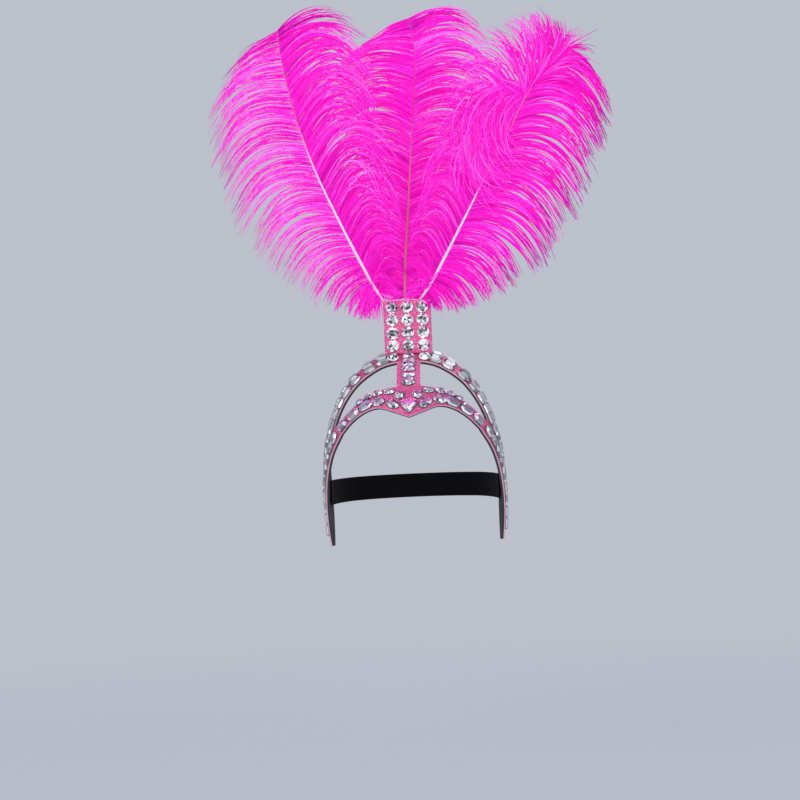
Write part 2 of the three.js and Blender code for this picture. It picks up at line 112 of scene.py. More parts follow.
# The other stones: length, width and height, places along and across their strips, counts and pitch
HEART_SIZE = (16.5, 15.5, 5.0)
HEART_ACROSS = 0.37
ROUND_STONE = 12.6
ROUND_STONE_HEIGHT = 4.4
FIELD_STONE = (13.0, 9.6, 3.8)
FIELD_STONE_SHARE = 0.43
FIELD_SINK = 0.3
ARCH_FIELD = (0.285, 0.94, 7)
ARCH_FIELD_ROWS = (0.235, 0.73)
ARM_FIELD = [
    (0.06, (0.25, 0.75)), (0.16, (0.25, 0.75)), (0.26, (0.25, 0.75)), (0.36, (0.25, 0.75)),
    (0.46, (0.26, 0.74)), (0.56, (0.28, 0.72)), (0.66, (0.5,)), (0.76, (0.5,)), (0.86, (0.5,)),
]
ARCH_CENTRE_COUNT = 3
ARCH_CENTRE_PITCH = 16.0
ARCH_CENTRE_ACROSS = 0.27
ARCH_CENTRE_SIZE = 12.2
POST_STONE = (10.4, 13.6)
POST_STONE_COUNT = 5
PLATE_COLUMNS = 3
PLATE_ROWS = 4
PLATE_STONE_PITCH = (15.4, 13.1)
PLATE_STONE_BOTTOM = 134.6
PLATE_STONE_SPIN = 45
PLATE_CORNER = 0.9
CORNER_STEPS = 4

# Round and oval cut, as shares of the stone: height of the girdle, width and height of the ring above it,
# width of the table
GIRDLE_HEIGHT = 0.3
MIDDLE_RING = (0.79, 0.72)
TABLE_WIDTH = 0.56
BRILLIANT_FOOT = 0.97

# Long cut: corner as a share of the width, how it shrinks inwards, its least size and the flare of the foot
# in millimetres, then inset as a share of the width and height of each tier
STEP_CORNER = 0.3
CORNER_SHRINK = 0.4
CORNER_LEAST = 0.2
STEP_FLARE = 0.4
STEP_TIERS = [(0.0, 0.34), (0.11, 0.74), (0.2, 1.0)]

# How even the facets of a table are, how far a dark foot stands out as a painted shaded outline, and tones of
# the facets by kind
# The facet tones are painted reflection, from shade to glint, standing in for what a clear stone shows of its
# surroundings
TABLE_EVENNESS = 0.7
DARK_FOOT = 1.06
FACET_TONES = {
    "edge": (0.02, 0.08, 0.2),
    "crown": (0.25, 0.5, 0.8, 1.0),
    "soft": (0.26, 0.38, 0.5, 0.6),
    "back": (0.3,),
    "rim": (0.7, 0.9, 1.0),
    "girdle": (0.3, 0.6, 0.9, 1.0),
    "kite": (0.1, 0.45, 0.85, 1.0),
    "star": (0.3, 0.75, 1.0),
    "table": (0.06, 0.3, 0.6, 0.95),
    "calm_rim": (0.02, 0.1, 0.25),
    "calm_girdle": (0.2, 0.45, 0.7, 1.0),
    "calm_kite": (0.1, 0.35, 0.55, 0.9),
    "calm_star": (0.25, 0.5, 0.8),
    "calm_table": (0.3, 0.45, 0.6, 0.72),
    "bright": (0.72, 0.85, 1.0),
}
FACET_STRAY = 0.05

# Heart cut: right half of its outline from the notch, its point, then size and height of each tier
HEART_HALF = [
    (0, 0.3), (0.12, 0.44), (0.26, 0.48), (0.4, 0.42),
    (0.49, 0.28), (0.49, 0.1), (0.38, -0.12), (0.2, -0.34),
]
HEART_POINT = -0.54
HEART_TIERS = [(DARK_FOOT, 0.0), (1.0, 0.3), (0.76, 0.75), (0.5, 1.0)]

# Painted reflection of the pink plumes in the stones: how much each kind of stone gets, how fast it grows
# upwards and how far it strays
FIELD_PLUME_REFLECTION = 0.14
BROW_PLUME_REFLECTION = 1.0
HEART_PLUME_REFLECTION = 2.6
PLATE_PLUME_REFLECTION = 0.1
PLUME_REFLECTION_GAIN = 1.6
PLUME_REFLECTION_SPREAD = (0.1, 1.0)

# Glue line: points along and around it, its least thickness and how it fills out from there, how far it
# sinks in, then the mean and depth of its lumps and how often they come along it
GLUE_STEPS = 40
GLUE_AROUND = 9
GLUE_LEAST = 0.25
GLUE_FILL = 0.6
GLUE_SINK = 0.3
GLUE_LUMPS = (0.72, 0.28)
GLUE_WAVES = (23.0, 9.0)

# Elastic strap: right half of its route seen from above, its edges, thickness and ribs, and the reach of a
# rib and of a groove as shares of the thickness
STRAP_ROUTE = [(85.4, -5), (83.1, 14), (77.5, 38), (64.5, 66), (37.5, 88), (0, 96)]
STRAP_LOW = -24.0
STRAP_HIGH = 1.0
STRAP_THICK = 1.5
STRAP_RIBS = 12
STRAP_ROWS = 121
RIB_TOP = 0.5
RIB_GROOVE = 0.42

# Vanes of the plumes, from the holder to the tip: place along the quill, angle that the barbs leave
# it at, barb length, how much they droop and how far their angle strays
VANES = {
    ("feather_left", -1): [
        (0.05, 92, 22, 2.6, 8), (0.15, 70, 56, 2.6, 6), (0.3, 57, 83, 2.3, 4), (0.5, 57, 104, 2.4, 4),
        (0.7, 62, 104, 2.4, 4), (0.85, 78, 88, 1.9, 4), (0.95, 100, 64, 1.0, 4), (1.0, 122, 50, 0.2, 5)],
    ("feather_left", 1): [
        (0.05, 52, 28, 0.8, 14), (0.15, 48, 50, 1.4, 8), (0.3, 50, 88, 2.2, 5), (0.5, 50, 118, 2.7, 4),
        (0.7, 48, 118, 2.6, 4), (0.88, 51, 104, 1.9, 4), (0.96, 58, 86, 1.2, 5), (1.0, 52, 66, 0.8, 7)],
    ("feather_middle", -1): [
        (0.08, 62, 26, 1.0, 14), (0.2, 56, 44, 1.4, 8), (0.4, 56, 76, 2.2, 5), (0.65, 58, 92, 2.2, 4),
        (0.85, 66, 90, 1.6, 4), (0.95, 82, 72, 1.0, 4), (1.0, 94, 54, 0.8, 5)],
    ("feather_middle", 1): [
        (0.08, 62, 26, 1.0, 14), (0.2, 56, 44, 1.4, 8), (0.4, 58, 78, 2.2, 5), (0.65, 56, 94, 2.2, 4),
        (0.85, 58, 94, 2.0, 4), (0.95, 65, 80, 1.5, 5), (1.0, 75, 64, 1.1, 8)],
    ("feather_right", -1): [
        (0.05, 52, 28, 0.8, 14), (0.15, 48, 46, 1.4, 8), (0.35, 50, 78, 2.2, 5), (0.55, 50, 100, 2.4, 6),
        (0.72, 54, 90, 1.5, 10), (0.88, 56, 66, 0.5, 15), (0.96, 48, 54, 0.4, 18), (1.0, 30, 40, 0.3, 22)],
    ("feather_right", 1): [
        (0.05, 84, 12, 2.6, 8), (0.15, 66, 58, 2.6, 4), (0.35, 53, 97, 2.6, 3), (0.55, 48, 110, 2.7, 3),
        (0.8, 43, 98, 3.0, 3), (0.95, 46, 78, 3.0, 5), (1.0, 58, 48, 2.4, 10)],
}
# Loose tufts: plume, side, span along its quill, barbs, angle, how far that strays, length, droop, curl
LOOSE_TUFTS = [
    ("feather_right", -1, 0.63, 0.81, 230, 106, 20, 108, 0.0, 165),
    ("feather_right", -1, 0.76, 0.97, 80, 34, 26, 54, 0.5, 0),
    ("feather_right", -1, 0.84, 0.98, 26, 24, 30, 56, 0.3, 0),
    ("feather_right", 1, 0.8, 0.99, 50, 14, 18, 46, 0.8, 0),
    ("feather_left", -1, 0.055, 0.12, 70, 96, 22, 26, 2.2, 0),
    ("feather_left", 1, 0.06, 0.12, 60, 80, 24, 22, 1.6, 0),
    ("feather_middle", -1, 0.1, 0.17, 60, 96, 24, 24, 1.6, 0),
    ("feather_middle", 1, 0.1, 0.17, 60, 96, 24, 24, 1.6, 0),
    ("feather_right", -1, 0.06, 0.12, 60, 80, 24, 22, 1.6, 0),
]
# Barbs of a vane, steps along a barb, and how its droop grows along it
BARBS_PER_SIDE = 520
BARB_STEPS = 14
DROOP_POWER = 1.6
# Tufts: barbs in each, how far they pull together, stray of their turn, stray with least and most of their
# length and droop, and span of their depth
TUFT_SIZES = (2, 7)
TUFT_PULL = 0.6
TUFT_TURN = 0.7
TUFT_STRETCH = (0.07, 0.8, 1.1)
TUFT_SAG = (0.14, 0.6, 1.4)
TUFT_DEPTH = (-3, 13)
# One barb in its tuft: stray of its turn, spans of its length, droop and depth, stray of its foot, how barbs
# crowd towards the holder, and the size and number of its waves
BARB_TURN = 0.4
BARB_STRETCH = (0.84, 1.05)
BARB_SAG = (0.85, 1.15)
BARB_DEPTH = (-3, 3)
FOOT_STRAY = 0.0015
CROWDING = 1.15
BARB_WAVE = 0.9
BARB_WAVES = (0.6, 1.3)
# Loose tufts: spans of length, droop, curl and depth
LOOSE_REACH = (0.7, 1.1)
LOOSE_SAG = (0.8, 1.2)
LOOSE_CURL = (0.75, 1.15)
LOOSE_DEPTH = (2, 14)
# Where down gives way to plain barbs along the quill
DOWN_END = 0.28
DOWN_SPAN = 0.2
# A barb is a strand with a web of matted barbules behind its inner part and loose barbules beside it. Strand
# and web are rolled about the barb, by these strays in radians.
WEB_BEHIND = 0.5
STRAND_ROLL = 0.5
WEB_ROLL = 0.35
# Cover of the vanes: width of a strand, its taper, width of its web, how far along the web goes, and tone
PLAIN_COVER = (0.8, 0.55, 1.45, 0.88, 0.0)
VANE_COVER = {
    ("feather_left", -1): (0.7, 0.75, 0.75, 0.58, 0.03),
    ("feather_left", 1): (0.8, 0.55, 1.45, 0.88, -0.06),
    ("feather_right", -1): (0.8, 0.55, 1.45, 0.88, -0.06),
    ("feather_right", 1): (0.94, 0.5, 1.6, 0.94, -0.08),
}
# Loose barbules: pitch, size, where they end on plain and downy barbs, roll, angle and reach, more if downy
BARBULE_PITCH = 1.25
BARBULE_LENGTH = 8.0
BARBULE_WIDTH = 0.34
BARBULE_END = 0.7
DOWNY_END = 0.97
BARBULE_ROLL = 0.8
BARBULE_ANGLE = (0.05, 0.24)
DOWNY_ANGLE = 1.6
BARBULE_REACH = (0.6, 1.2)
BARBULE_SHRINK = 0.5
DOWNY_REACH = 0.5
# Quill: radius by place along it, points along and around it, points of its curve, colour of root and tip
QUILL_RADII = [(0, 1.44), (0.08, 1.8), (0.5, 0.8), (1, 0.35)]
QUILL_STEPS = 60
QUILL_SIDES = 10
QUILL_POINTS = 400
QUILL_COLOURS = {
    "feather_left": ((1.0, 0.85, 0.88), (0.82, 0.1, 0.4)),
    "feather_middle": ((0.8, 0.28, 0.36), (0.7, 0.03, 0.34)),
    "feather_right": ((1.0, 0.82, 0.9), (0.82, 0.16, 0.34)),
}

# Tones of the barbs, from 0 for deep to 1 for pale, with painted shade and light over the dye: a strand from
# the quill, deeper there by painted shade, to its free end, and the web behind it; how far free ends go
# darker and from where; the downy foot, with painted light lifting its loose tufts; the tip, deepened by
# painted shade; and how tones stray
STRAND_TONES = [(0.0, 0.5), (0.2, 0.62), (0.5, 0.74), (0.75, 0.66), (1.0, 0.5)]
EDGE_FADE = 0.36
FADE_FROM = 0.5
TONE_STRAY = (-0.24, 0.36)
WEB_TONES = [(0.0, 0.36), (0.5, 0.46), (1.0, 0.5)]
FOOT_TONE = 0.42
FOOT_LIFT = 0.1
TIP_PAINTED_SHADE = 0.3
TIP_FROM = 0.91
TUFT_TONE = 0.06
BARB_TONE = 0.18
LOOSE_TONE = (0.04, 0.15)
BARBULE_TONE = 0.04
WEB_SHARE = 0.6

# Plumes: name, lean of the barbs, free outer side, where the barbs start, seed, and the quill's route from
# inside the holder to the tip. The outer plumes bow forward, the middle one back.
FEATHERS = [
    ("feather_left", -1, -1, 0.055, 11, [
        (-16.5, -9.5, 168), (-24.5, -9.5, 182), (-38.4, -13, 208), (-65, -19, 264.5),
        (-90.4, -24, 326), (-108, -24, 387.5), (-117.5, -17, 439.5), (-119.5, -8, 461)]),
    ("feather_middle", 1, 0, 0.1, 12, [
        (-2.5, -9.5, 152), (-1.5, -9.5, 183), (0.5, -6, 222), (4.2, -1, 263),
        (11.6, 8, 345.5), (17.5, 16, 413), (17, 24, 455.5), (13.6, 32, 475)]),
    ("feather_right", -1, 1, 0.055, 13, [
        (5.5, -9.5, 168), (14.1, -9.5, 181.5), (27.2, -12, 200), (61.2, -18, 258.7),
        (87.4, -22, 305.6), (107, -24, 338.6), (132.1, -23, 384), (156.8, -14, 412.4), (171, 0, 430)]),
]

# Seeds of the frame's stones, of the painted pink reflection in stones that are fused to the cloth, and of
# the plate's stones
FRAME_SEED = 7
FIELD_SEED = 5
PLATE_SEED = 21

# Faces of a strip's cloth and of a plume, by their material's place in the list
CLOTH_FACE, STONE_FACE, CUT_FACE = 0, 1, 2
BARB_FACE, QUILL_FACE = 0, 1
PLAIN_TONE = 0.5

# Camera at the photograph's angle, in metres
CAMERA_TURN = math.radians(2.0)
CAMERA_ROLL = math.radians(2.5)
CAMERA_DISTANCE = 2.0
CAMERA_TARGET = np.array([-0.0115, 0.0, 0.08])
FOCAL_PIXELS = 1960.0
PICTURE_PIXELS = 800.0
SENSOR = 36.0

# Studio: a level pale floor that fades out from a share of its radius, and softboxes: name, place, aim, size
# and power
FLOOR_HEIGHT = -0.315
FLOOR_RADIUS = 1.4
FLOOR_SIDES = 96
FLOOR_FADE_FROM = 0.25
STUDIO_GREY = (0.5, 0.53, 0.6, 1)
SOFTBOXES = [
    ("key_softbox", (-1.6, -2.2, 1.6), (0, 0, 0.25), 2.4, 42),
    ("fill_softbox", (1.8, -2.2, 0.7), (0, 0, 0.2), 2.4, 26),
    ("back_softbox", (0.3, 1.6, 1.6), (0, 0, 0.3), 1.2, 14),
]


# Curves and grids

def smooth_curve(points, shares):
    """Centripetal curve through points, at shares from 0 to 1 spaced evenly over the points."""
    points = np.asarray(points, float)
    ends = np.vstack([2 * points[0] - points[1], points, 2 * points[-1] - points[-2]])
    last = len(points) - 1
    place = np.clip(np.asarray(shares, float) * last, 0, last - 1e-9)
    i = place.astype(int)
    w = (place - i)[:, None]
    p0, p1, p2, p3 = ends[i], ends[i + 1], ends[i + 2], ends[i + 3]
    spans = ((p0, p1), (p1, p2), (p2, p3))
    d0, d1, d2 = (np.sqrt(np.linalg.norm(b - a, axis=1))[:, None] for a, b in spans)
    t1 = ((p1 - p0) / d0 - (p2 - p0) / (d0 + d1) + (p2 - p1) / d1) * d1
    t2 = ((p2 - p1) / d1 - (p3 - p1) / (d1 + d2) + (p3 - p2) / d2) * d1
    return p1 + t1 * w + (3 * (p2 - p1) - 2 * t1 - t2) * w**2 + (2 * (p1 - p2) + t1 + t2) * w**3


def between(at, run, table):
    """Points of a table at places along its run."""
    return np.column_stack([np.interp(at, run, table[:, k]) for k in range(3)])


def even_curve(points, count):
    """Points spaced evenly by length along the smooth curve."""
    dense = smooth_curve(points, np.linspace(0, 1, CURVE_SAMPLES))
    run = np.concatenate([[0], np.cumsum(np.linalg.norm(np.diff(dense, axis=0), axis=1))])
    return between(np.linspace(0, run[-1], count), run, dense)


def unit(v):
    """Vectors of length one."""
    return v / np.maximum(np.linalg.norm(v, axis=-1, keepdims=True), 1e-9)


def sideways(heading):
    """Direction across a heading, seen from the front."""
    return np.stack([heading[..., 2], np.zeros(heading.shape[:-1]), -heading[..., 0]], axis=-1)


def form_depth(x, z):
    """Depth of the rounded form's front at a place seen from there."""
    inside = 1 - (x / FORM_HALF_WIDTH) ** 2 - (np.maximum(z, 0) / FORM_CROWN) ** 3
    return -FORM_HALF_DEPTH * np.sqrt(np.maximum(inside, 0))


def form_side(y, z):
    """Half width of the rounded form at a depth and height."""
    inside = 1 - (y / FORM_HALF_DEPTH) ** 2 - (np.maximum(z, 0) / FORM_CROWN) ** 3
    return FORM_HALF_WIDTH * np.sqrt(np.maximum(inside, 0))


def flip_x(points):
    """Points or directions mirrored from one side of the headdress to the other."""
    return points * np.array([-1.0, 1.0, 1.0])


def both_halves(half):
    """A strip's rows from the left end to the right, from the rows of its right half."""
    return np.concatenate([flip_x(half[:0:-1]), half])


def grid_normals(grid):
    """Direction out of a strip at each point of its grid."""
    along = np.gradient(grid, axis=0)
    across = np.gradient(grid, axis=1)
    return unit(np.cross(along, across))


def on_grid(values, u, v):
    """Bilinear value of a grid at shares u along and v across."""
    i = np.clip(u * (len(values) - 1), 0, len(values) - 1.0001)
    j = np.clip(v * (len(values[0]) - 1), 0, len(values[0]) - 1.0001)
    i0, j0 = int(i), int(j)
    low = values[i0][j0] * (1 - i + i0) + values[i0 + 1][j0] * (i - i0)
    high = values[i0][j0 + 1] * (1 - i + i0) + values[i0 + 1][j0 + 1] * (i - i0)
    return low * (1 - j + j0) + high * (j - j0)


# The foam frame's strips as grids of points on the line between foam and cloth

def brow_half():
    """Right half of the brow band, from its pointed centre to the fork."""
    shares = np.linspace(0, 1, HALF_ROWS + 1)
    low = smooth_curve([(x, 0, z) for x, z in BROW_LOW], shares)
    high = smooth_curve([(x, 0, z) for x, z in BROW_HIGH], shares)
    t = np.linspace(0, 1, STRIP_ACROSS + 1)[None, :, None]
    flat = low[:, None] * (1 - t) + high[:, None] * t
    flat[..., 1] = form_depth(flat[..., 0], flat[..., 2])
    return flat


def arch_half():
    """Right half of the crown arch, from its top to the fork, leaning back from its front edge."""
    shares = np.linspace(0, 1, HALF_ROWS + 1)
    marks = np.linspace(0, 1, len(ARCH_LEAN))
    front = smooth_curve([(x, 0, z) for x, z in ARCH_FRONT], shares)
    tangent = unit(np.gradient(front, axis=0))
    lean = np.radians(np.interp(shares, marks, ARCH_LEAN))[:, None]
    width = np.interp(shares, marks, ARCH_WIDTH)[:, None]
    rise = np.column_stack([-tangent[:, 2], np.zeros(len(shares)), tangent[:, 0]])
    rise[0] = (0, 0, 1)
    front[:, 1] = form_depth(front[:, 0], front[:, 2])
    back = front + width * (np.cos(lean) * rise + np.sin(lean) * np.array([0, 1.0, 0]))
    t = np.linspace(0, 1, STRIP_ACROSS + 1)[None, :, None]
    return front[:, None] * (1 - t) + back[:, None] * t


def arm_grid(brow_end, arch_end):
    """Right side arm, from the ends of brow band and arch down to its tip."""
    bow = np.array(ARM_BOW, float)
    tuck = np.array(ARM_TUCK, float)

    def edge(start, places, share):
        y, z = np.array(places, float).T
        side = np.column_stack([form_side(y, z) + bow - tuck * share, y, z])
        return smooth_curve(np.vstack([start, side]), np.linspace(0, 1, HALF_ROWS + 1))

    front = edge(brow_end[0], ARM_FRONT, 0)
    middle = edge(brow_end[-1], ARM_MIDDLE, 1 / 3)
    back = edge(arch_end[-1], ARM_BACK, 1)
    t = np.linspace(0, 1, STRIP_ACROSS + 1)[None, :, None]
    lower = front[:, None] * (1 - t) + middle[:, None] * t
    upper = middle[:, None] * (1 - t) + back[:, None] * t
    grid = np.concatenate([lower, upper[:, 1:]], axis=1)
    grid[0] = np.concatenate([brow_end, arch_end[1:]])
    return grid


def post_grid():
    """Centre post, from the brow band up to the front edge of the arch."""
    rows = []
    for x in np.linspace(POST_HALF_WIDTH, -POST_HALF_WIDTH, STRIP_ACROSS + 1):
        share = abs(x) / ARCH_FRONT[1][0] / (len(ARCH_FRONT) - 1)
        top = smooth_curve([(a, 0, b) for a, b in ARCH_FRONT], [share])[0][2]
        z = np.linspace(POST_BOTTOM, top, POST_SAMPLES)
        line = np.column_stack([np.full(POST_SAMPLES, x), form_depth(x, z), z])
        rows.append(even_curve(line, POST_ROWS))
    return np.array(rows).transpose(1, 0, 2)


# Meshes

def add_mesh(name, points, faces, materials, face_material=None, values=None, smooth=False):
    """New piece from points in millimetres, with its materials and any values on its points or faces."""
    mesh = bpy.data.meshes.new(name)
    mesh.from_pydata((np.asarray(points, float) * MM).tolist(), [], faces)
    for mat in materials:
        mesh.materials.append(mat)
    if face_material is not None:
        mesh.polygons.foreach_set("material_index", np.asarray(face_material, np.int32))
    for key, (domain, data) in (values or {}).items():
        mesh.attributes.new(key, "FLOAT", domain).data.foreach_set("value", np.asarray(data, np.float32))
    mesh.polygons.foreach_set("use_smooth", np.full(len(mesh.polygons), smooth))
    mesh.update()
    piece = bpy.data.objects.new(name, mesh)
    bpy.context.scene.collection.objects.link(piece)
    return piece


def place(piece, slot, *nodes):
    """Set a piece in the frame in place of the solids that it stands for; its slot is not used."""
    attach(piece, "root")
    if nodes:
        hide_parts(*nodes)
    return piece


def loft(rings):
    """Points and faces of a closed solid through rings of equal count."""
    rings = np.asarray(rings, float)
    rows, count = rings.shape[:2]
    faces = []
    for i in range(rows - 1):
        for k in range(count):
            a, b = i * count + k, i * count + (k + 1) % count
            faces.append((a, b, b + count, a + count))
    faces.append(tuple(range(count - 1, -1, -1)))
    faces.append(tuple((rows - 1) * count + k for k in range(count)))
    return rings.reshape(-1, 3), faces


def strip_solid(grid, normals, low, high, rounding):
    """A strip of sheet between two distances from its grid, with its outer long edges eased."""
    width = np.linalg.norm(grid[:, -1] - grid[:, 0], axis=1)
    ease = np.minimum(rounding / np.maximum(width, NARROWEST), MOST_EASE)
    shares = np.linspace(0, 1, grid.shape[1])
    rings = []
    for row, normal, e in zip(grid, normals, ease):
        outer = np.clip(shares, e, 1 - e)
        inner_side = row + normal * low
        top_side = between(outer, shares, row) + unit(between(outer, shares, normal)) * high
        first = row[0] + normal[0] * (high - rounding)
        last = row[-1] + normal[-1] * (high - rounding)
        rings.append(np.vstack([inner_side, last, top_side[::-1], first]))
    return loft(rings)


def outward(points, faces):
    """Faces turned so that the solid's volume is positive."""
    volume = 0.0
    for face in faces:
        a = points[face[0]]
        for b, c in zip(face[1:-1], face[2:]):
            volume += np.dot(a, np.cross(points[b], points[c]))
    return faces if volume > 0 else [tuple(reversed(f)) for f in faces]


# Stones: points, faces and a tone of painted reflection for each facet

def facets(kinds, rng):
    """A tone of painted reflection for each facet, from dark to bright, by its kind."""
    tones = np.array([rng.choice(FACET_TONES[kind]) for kind in kinds])
    return tones + rng.uniform(-FACET_STRAY, FACET_STRAY, len(kinds))


def oval_ring(count, turn, length, width, z):
    """Points of a level oval."""
    angle = np.arange(count) * 2 * math.pi / count + turn
    return np.column_stack([np.cos(angle) * length / 2, np.sin(angle) * width / 2, np.full(count, z)])


def brilliant(length, width, height, rng, foot=BRILLIANT_FOOT, cut=""):
    """Round or oval stone: girdle wall, kite, star and girdle facets, and a flat table."""
    middle, middle_height = MIDDLE_RING
    # Points 0 to 15 are the foot, 16 to 31 the girdle, 32 to 39 the ring above it, 40 to 48 the table
    points = np.vstack([
        oval_ring(16, 0, foot * length, foot * width, 0),
        oval_ring(16, 0, length, width, height * GIRDLE_HEIGHT),
        oval_ring(8, math.pi / 8, middle * length, middle * width, height * middle_height),
        oval_ring(8, 0, TABLE_WIDTH * length, TABLE_WIDTH * width, height),
        [(0, 0, height)],
    ])
    faces = [tuple(range(15, -1, -1))]
    kinds = ["back"]
    for k in range(16):
        n = (k + 1) % 16
        faces.append((k, n, 16 + n, 16 + k))
        kinds.append("rim")
    for k in range(8):
        n, p = (k + 1) % 8, (k - 1) % 8
        g0, g1, g2 = 16 + 2 * k, 16 + 2 * k + 1, 16 + (2 * k + 2) % 16
        faces += [
            (32 + k, g0, g1), (32 + k, g1, g2), (40 + k, 32 + k, 40 + n),
            (40 + k, 32 + p, g0, 32 + k), (40 + k, 40 + n, 48)]
        kinds += ["girdle", "girdle", "star", "kite", "table"]
    return points, faces, facets([kinds[0]] + [cut + kind for kind in kinds[1:]], rng)


def stepped(rings, rng, tone="soft"):
    """Clear stone through rings from its back to its table, which is split from its middle."""
    points, faces = loft(rings)
    count = len(rings[0])
    top = [tuple(face) for face in faces[:-2]]
    # The edge tier gets the darkest tones, a painted shaded outline
    tiers = ["edge"] * count + ["crown"] * count + [tone] * count
    middle = len(points)
    points = np.vstack([points, rings[-1].mean(axis=0)])
    start = middle - count
    table = [(start + k, start + (k + 1) % count, middle) for k in range(count)]
    tones = facets(tiers + ["back"] + [tone] * count, rng)
    tones[-count:] = TABLE_EVENNESS * tones[-1] + (1 - TABLE_EVENNESS) * tones[-count:]
    return points, top + [faces[-2]] + table, tones


def step_cut(length, width, height, rng):
    """Long stone with cut corners, stepped in two tiers up to its table."""
    def ring(inset, z):
        a, b = length / 2 - inset, width / 2 - inset
        c = max(STEP_CORNER * width - CORNER_SHRINK * inset, CORNER_LEAST)
        back = [(a, b - c), (a - c, b), (-a + c, b), (-a, b - c)]
        outline = back + [(-x, -y) for x, y in back]
        return np.array([(x, y, z) for x, y in outline])

    rings = [ring(-STEP_FLARE, 0)] + [ring(width * inset, height * share) for inset, share in STEP_TIERS]
    return stepped(rings, rng)


def heart_cut(size, rng):
    """Heart stone with its notch upwards, in two tiers up to its table."""
    width, height, thick = size
    side = [(x * width, y * height) for x, y in HEART_HALF]
    outline = np.array(side + [(0, HEART_POINT * height)] + [(-x, y) for x, y in side[:0:-1]])[::-1]

    def ring(share, z):
        return np.column_stack([outline * share, np.full(len(outline), z)])

    return stepped([ring(share, thick * rise) for share, rise in HEART_TIERS], rng, "bright")


def seat(grid, normals, u, v, height):
    """Origin and axes for a stone: x along the strip, z out of it."""
    reach = 0.5 / (len(grid) - 1)
    normal = unit(on_grid(normals, u, v))
    along = on_grid(grid, u + reach, v) - on_grid(grid, u - reach, v)
    along = unit(along - normal * np.dot(along, normal))
    return on_grid(grid, u, v) + normal * height, np.array([along, np.cross(normal, along), normal])


def turned(axes, degrees):
    """Axes of a stone turned about the line out of its seat."""
    c, s = math.cos(math.radians(degrees)), math.sin(math.radians(degrees))
    return np.array([axes[0] * c + axes[1] * s, axes[1] * c - axes[0] * s, axes[2]])


def painted_plume_reflection(points, faces, amount, rng):
    """Painted reflection of the plumes' colour on each facet: most on those high up and facing upwards."""
    low, high = points[:, 2].min(), points[:, 2].max()
    plume_reflection = []
    for face in faces:
        a, b, c = points[face[0]], points[face[1]], points[face[2]]
        up = unit(np.cross(b - a, c - a))[2]
        place_up = (points[list(face), 2].mean() - low) / (high - low) - 0.5
        share = np.clip((up + place_up) * PLUME_REFLECTION_GAIN, 0, 1)
        plume_reflection.append(min(amount * share * rng.uniform(*PLUME_REFLECTION_SPREAD), 1.0))
    return plume_reflection


def add_stone(name, shape, origin, axes, plume_reflection, rng):
    """A stone that is a piece of its own, on its seat."""
    points, faces, tones = shape
    points = points @ axes + origin
    # Each face carries its painted facet tone and its painted pink reflection of the plumes
    piece = add_mesh(name, points, faces, [STONE], values={
        "facet": ("FACE", tones), "plume_reflection": ("FACE", painted_plume_reflection(points, faces, plume_reflection, rng))})
    return place(piece, "crystal", name)


# Materials

def add_node(tree, kind, **values):
    """Node with values for its sockets, by their names, or for its settings."""
    node = tree.nodes.new(kind)
    for key, value in values.items():
        if key in node.inputs:
            node.inputs[key].default_value = value
        else:
            setattr(node, key, value)
    return node


def link(tree, source, output, target, socket):
    """Lead one node's output into another node's socket."""
    tree.links.new(source.outputs[output], target.inputs[socket])


def new_material(name, finish):
    """Material, its nodes and its shader, with the plain values of its finish set on the shader."""
    mat = bpy.data.materials.new(name)
    mat.use_nodes = True
    tree = mat.node_tree
    tree.nodes.clear()
    out = tree.nodes.new("ShaderNodeOutputMaterial")
    shader = add_node(tree, "ShaderNodeBsdfPrincipled", **finish)
    link(tree, shader, "BSDF", out, "Surface")
    return mat, tree, shader


def ramp(tree, stops):
    """Colour ramp through stops of place and colour."""
    node = tree.nodes.new("ShaderNodeValToRGB")
    ends = node.color_ramp.elements
    while len(ends) < len(stops):
        ends.new(0.5)
    for element, (at, colour) in zip(ends, stops):
        element.position = at
        element.color = (*colour, 1)
    return node


def mottle_group():
    """Fine uneven colour and grain: mixes two colours by noise and puts out the grain's height."""
    group = bpy.data.node_groups.new("mottle", "ShaderNodeTree")
    sockets = [
        ("Dark", "INPUT", "NodeSocketColor"), ("Light", "INPUT", "NodeSocketColor"),
        ("Scale", "INPUT", "NodeSocketFloat"),
        ("Color", "OUTPUT", "NodeSocketColor"), ("Height", "OUTPUT", "NodeSocketFloat"),
    ]
    for name, way, kind in sockets:
        group.interface.new_socket(name, in_out=way, socket_type=kind)
    ins = group.nodes.new("NodeGroupInput")
    outs = group.nodes.new("NodeGroupOutput")
    where = group.nodes.new("ShaderNodeTexCoord")
    grain = add_node(group, "ShaderNodeTexNoise", Detail=4.0, Roughness=0.65)
    broad = add_node(group, "ShaderNodeTexNoise", Scale=60.0, Detail=2.0)
    blend = add_node(group, "ShaderNodeMath", operation="MULTIPLY")
    mix = group.nodes.new("ShaderNodeMixRGB")
    for noise in (grain, broad):
        link(group, where, "Object", noise, "Vector")
    link(group, ins, "Scale", grain, "Scale")
    link(group, grain, "Fac", blend, 0)
    link(group, broad, "Fac", blend, 1)
    link(group, blend, "Value", mix, "Fac")
    link(group, ins, "Dark", mix, "Color1")
    link(group, ins, "Light", mix, "Color2")
    link(group, mix, "Color", outs, "Color")
    link(group, grain, "Fac", outs, "Height")
    return group


MOTTLE = mottle_group()


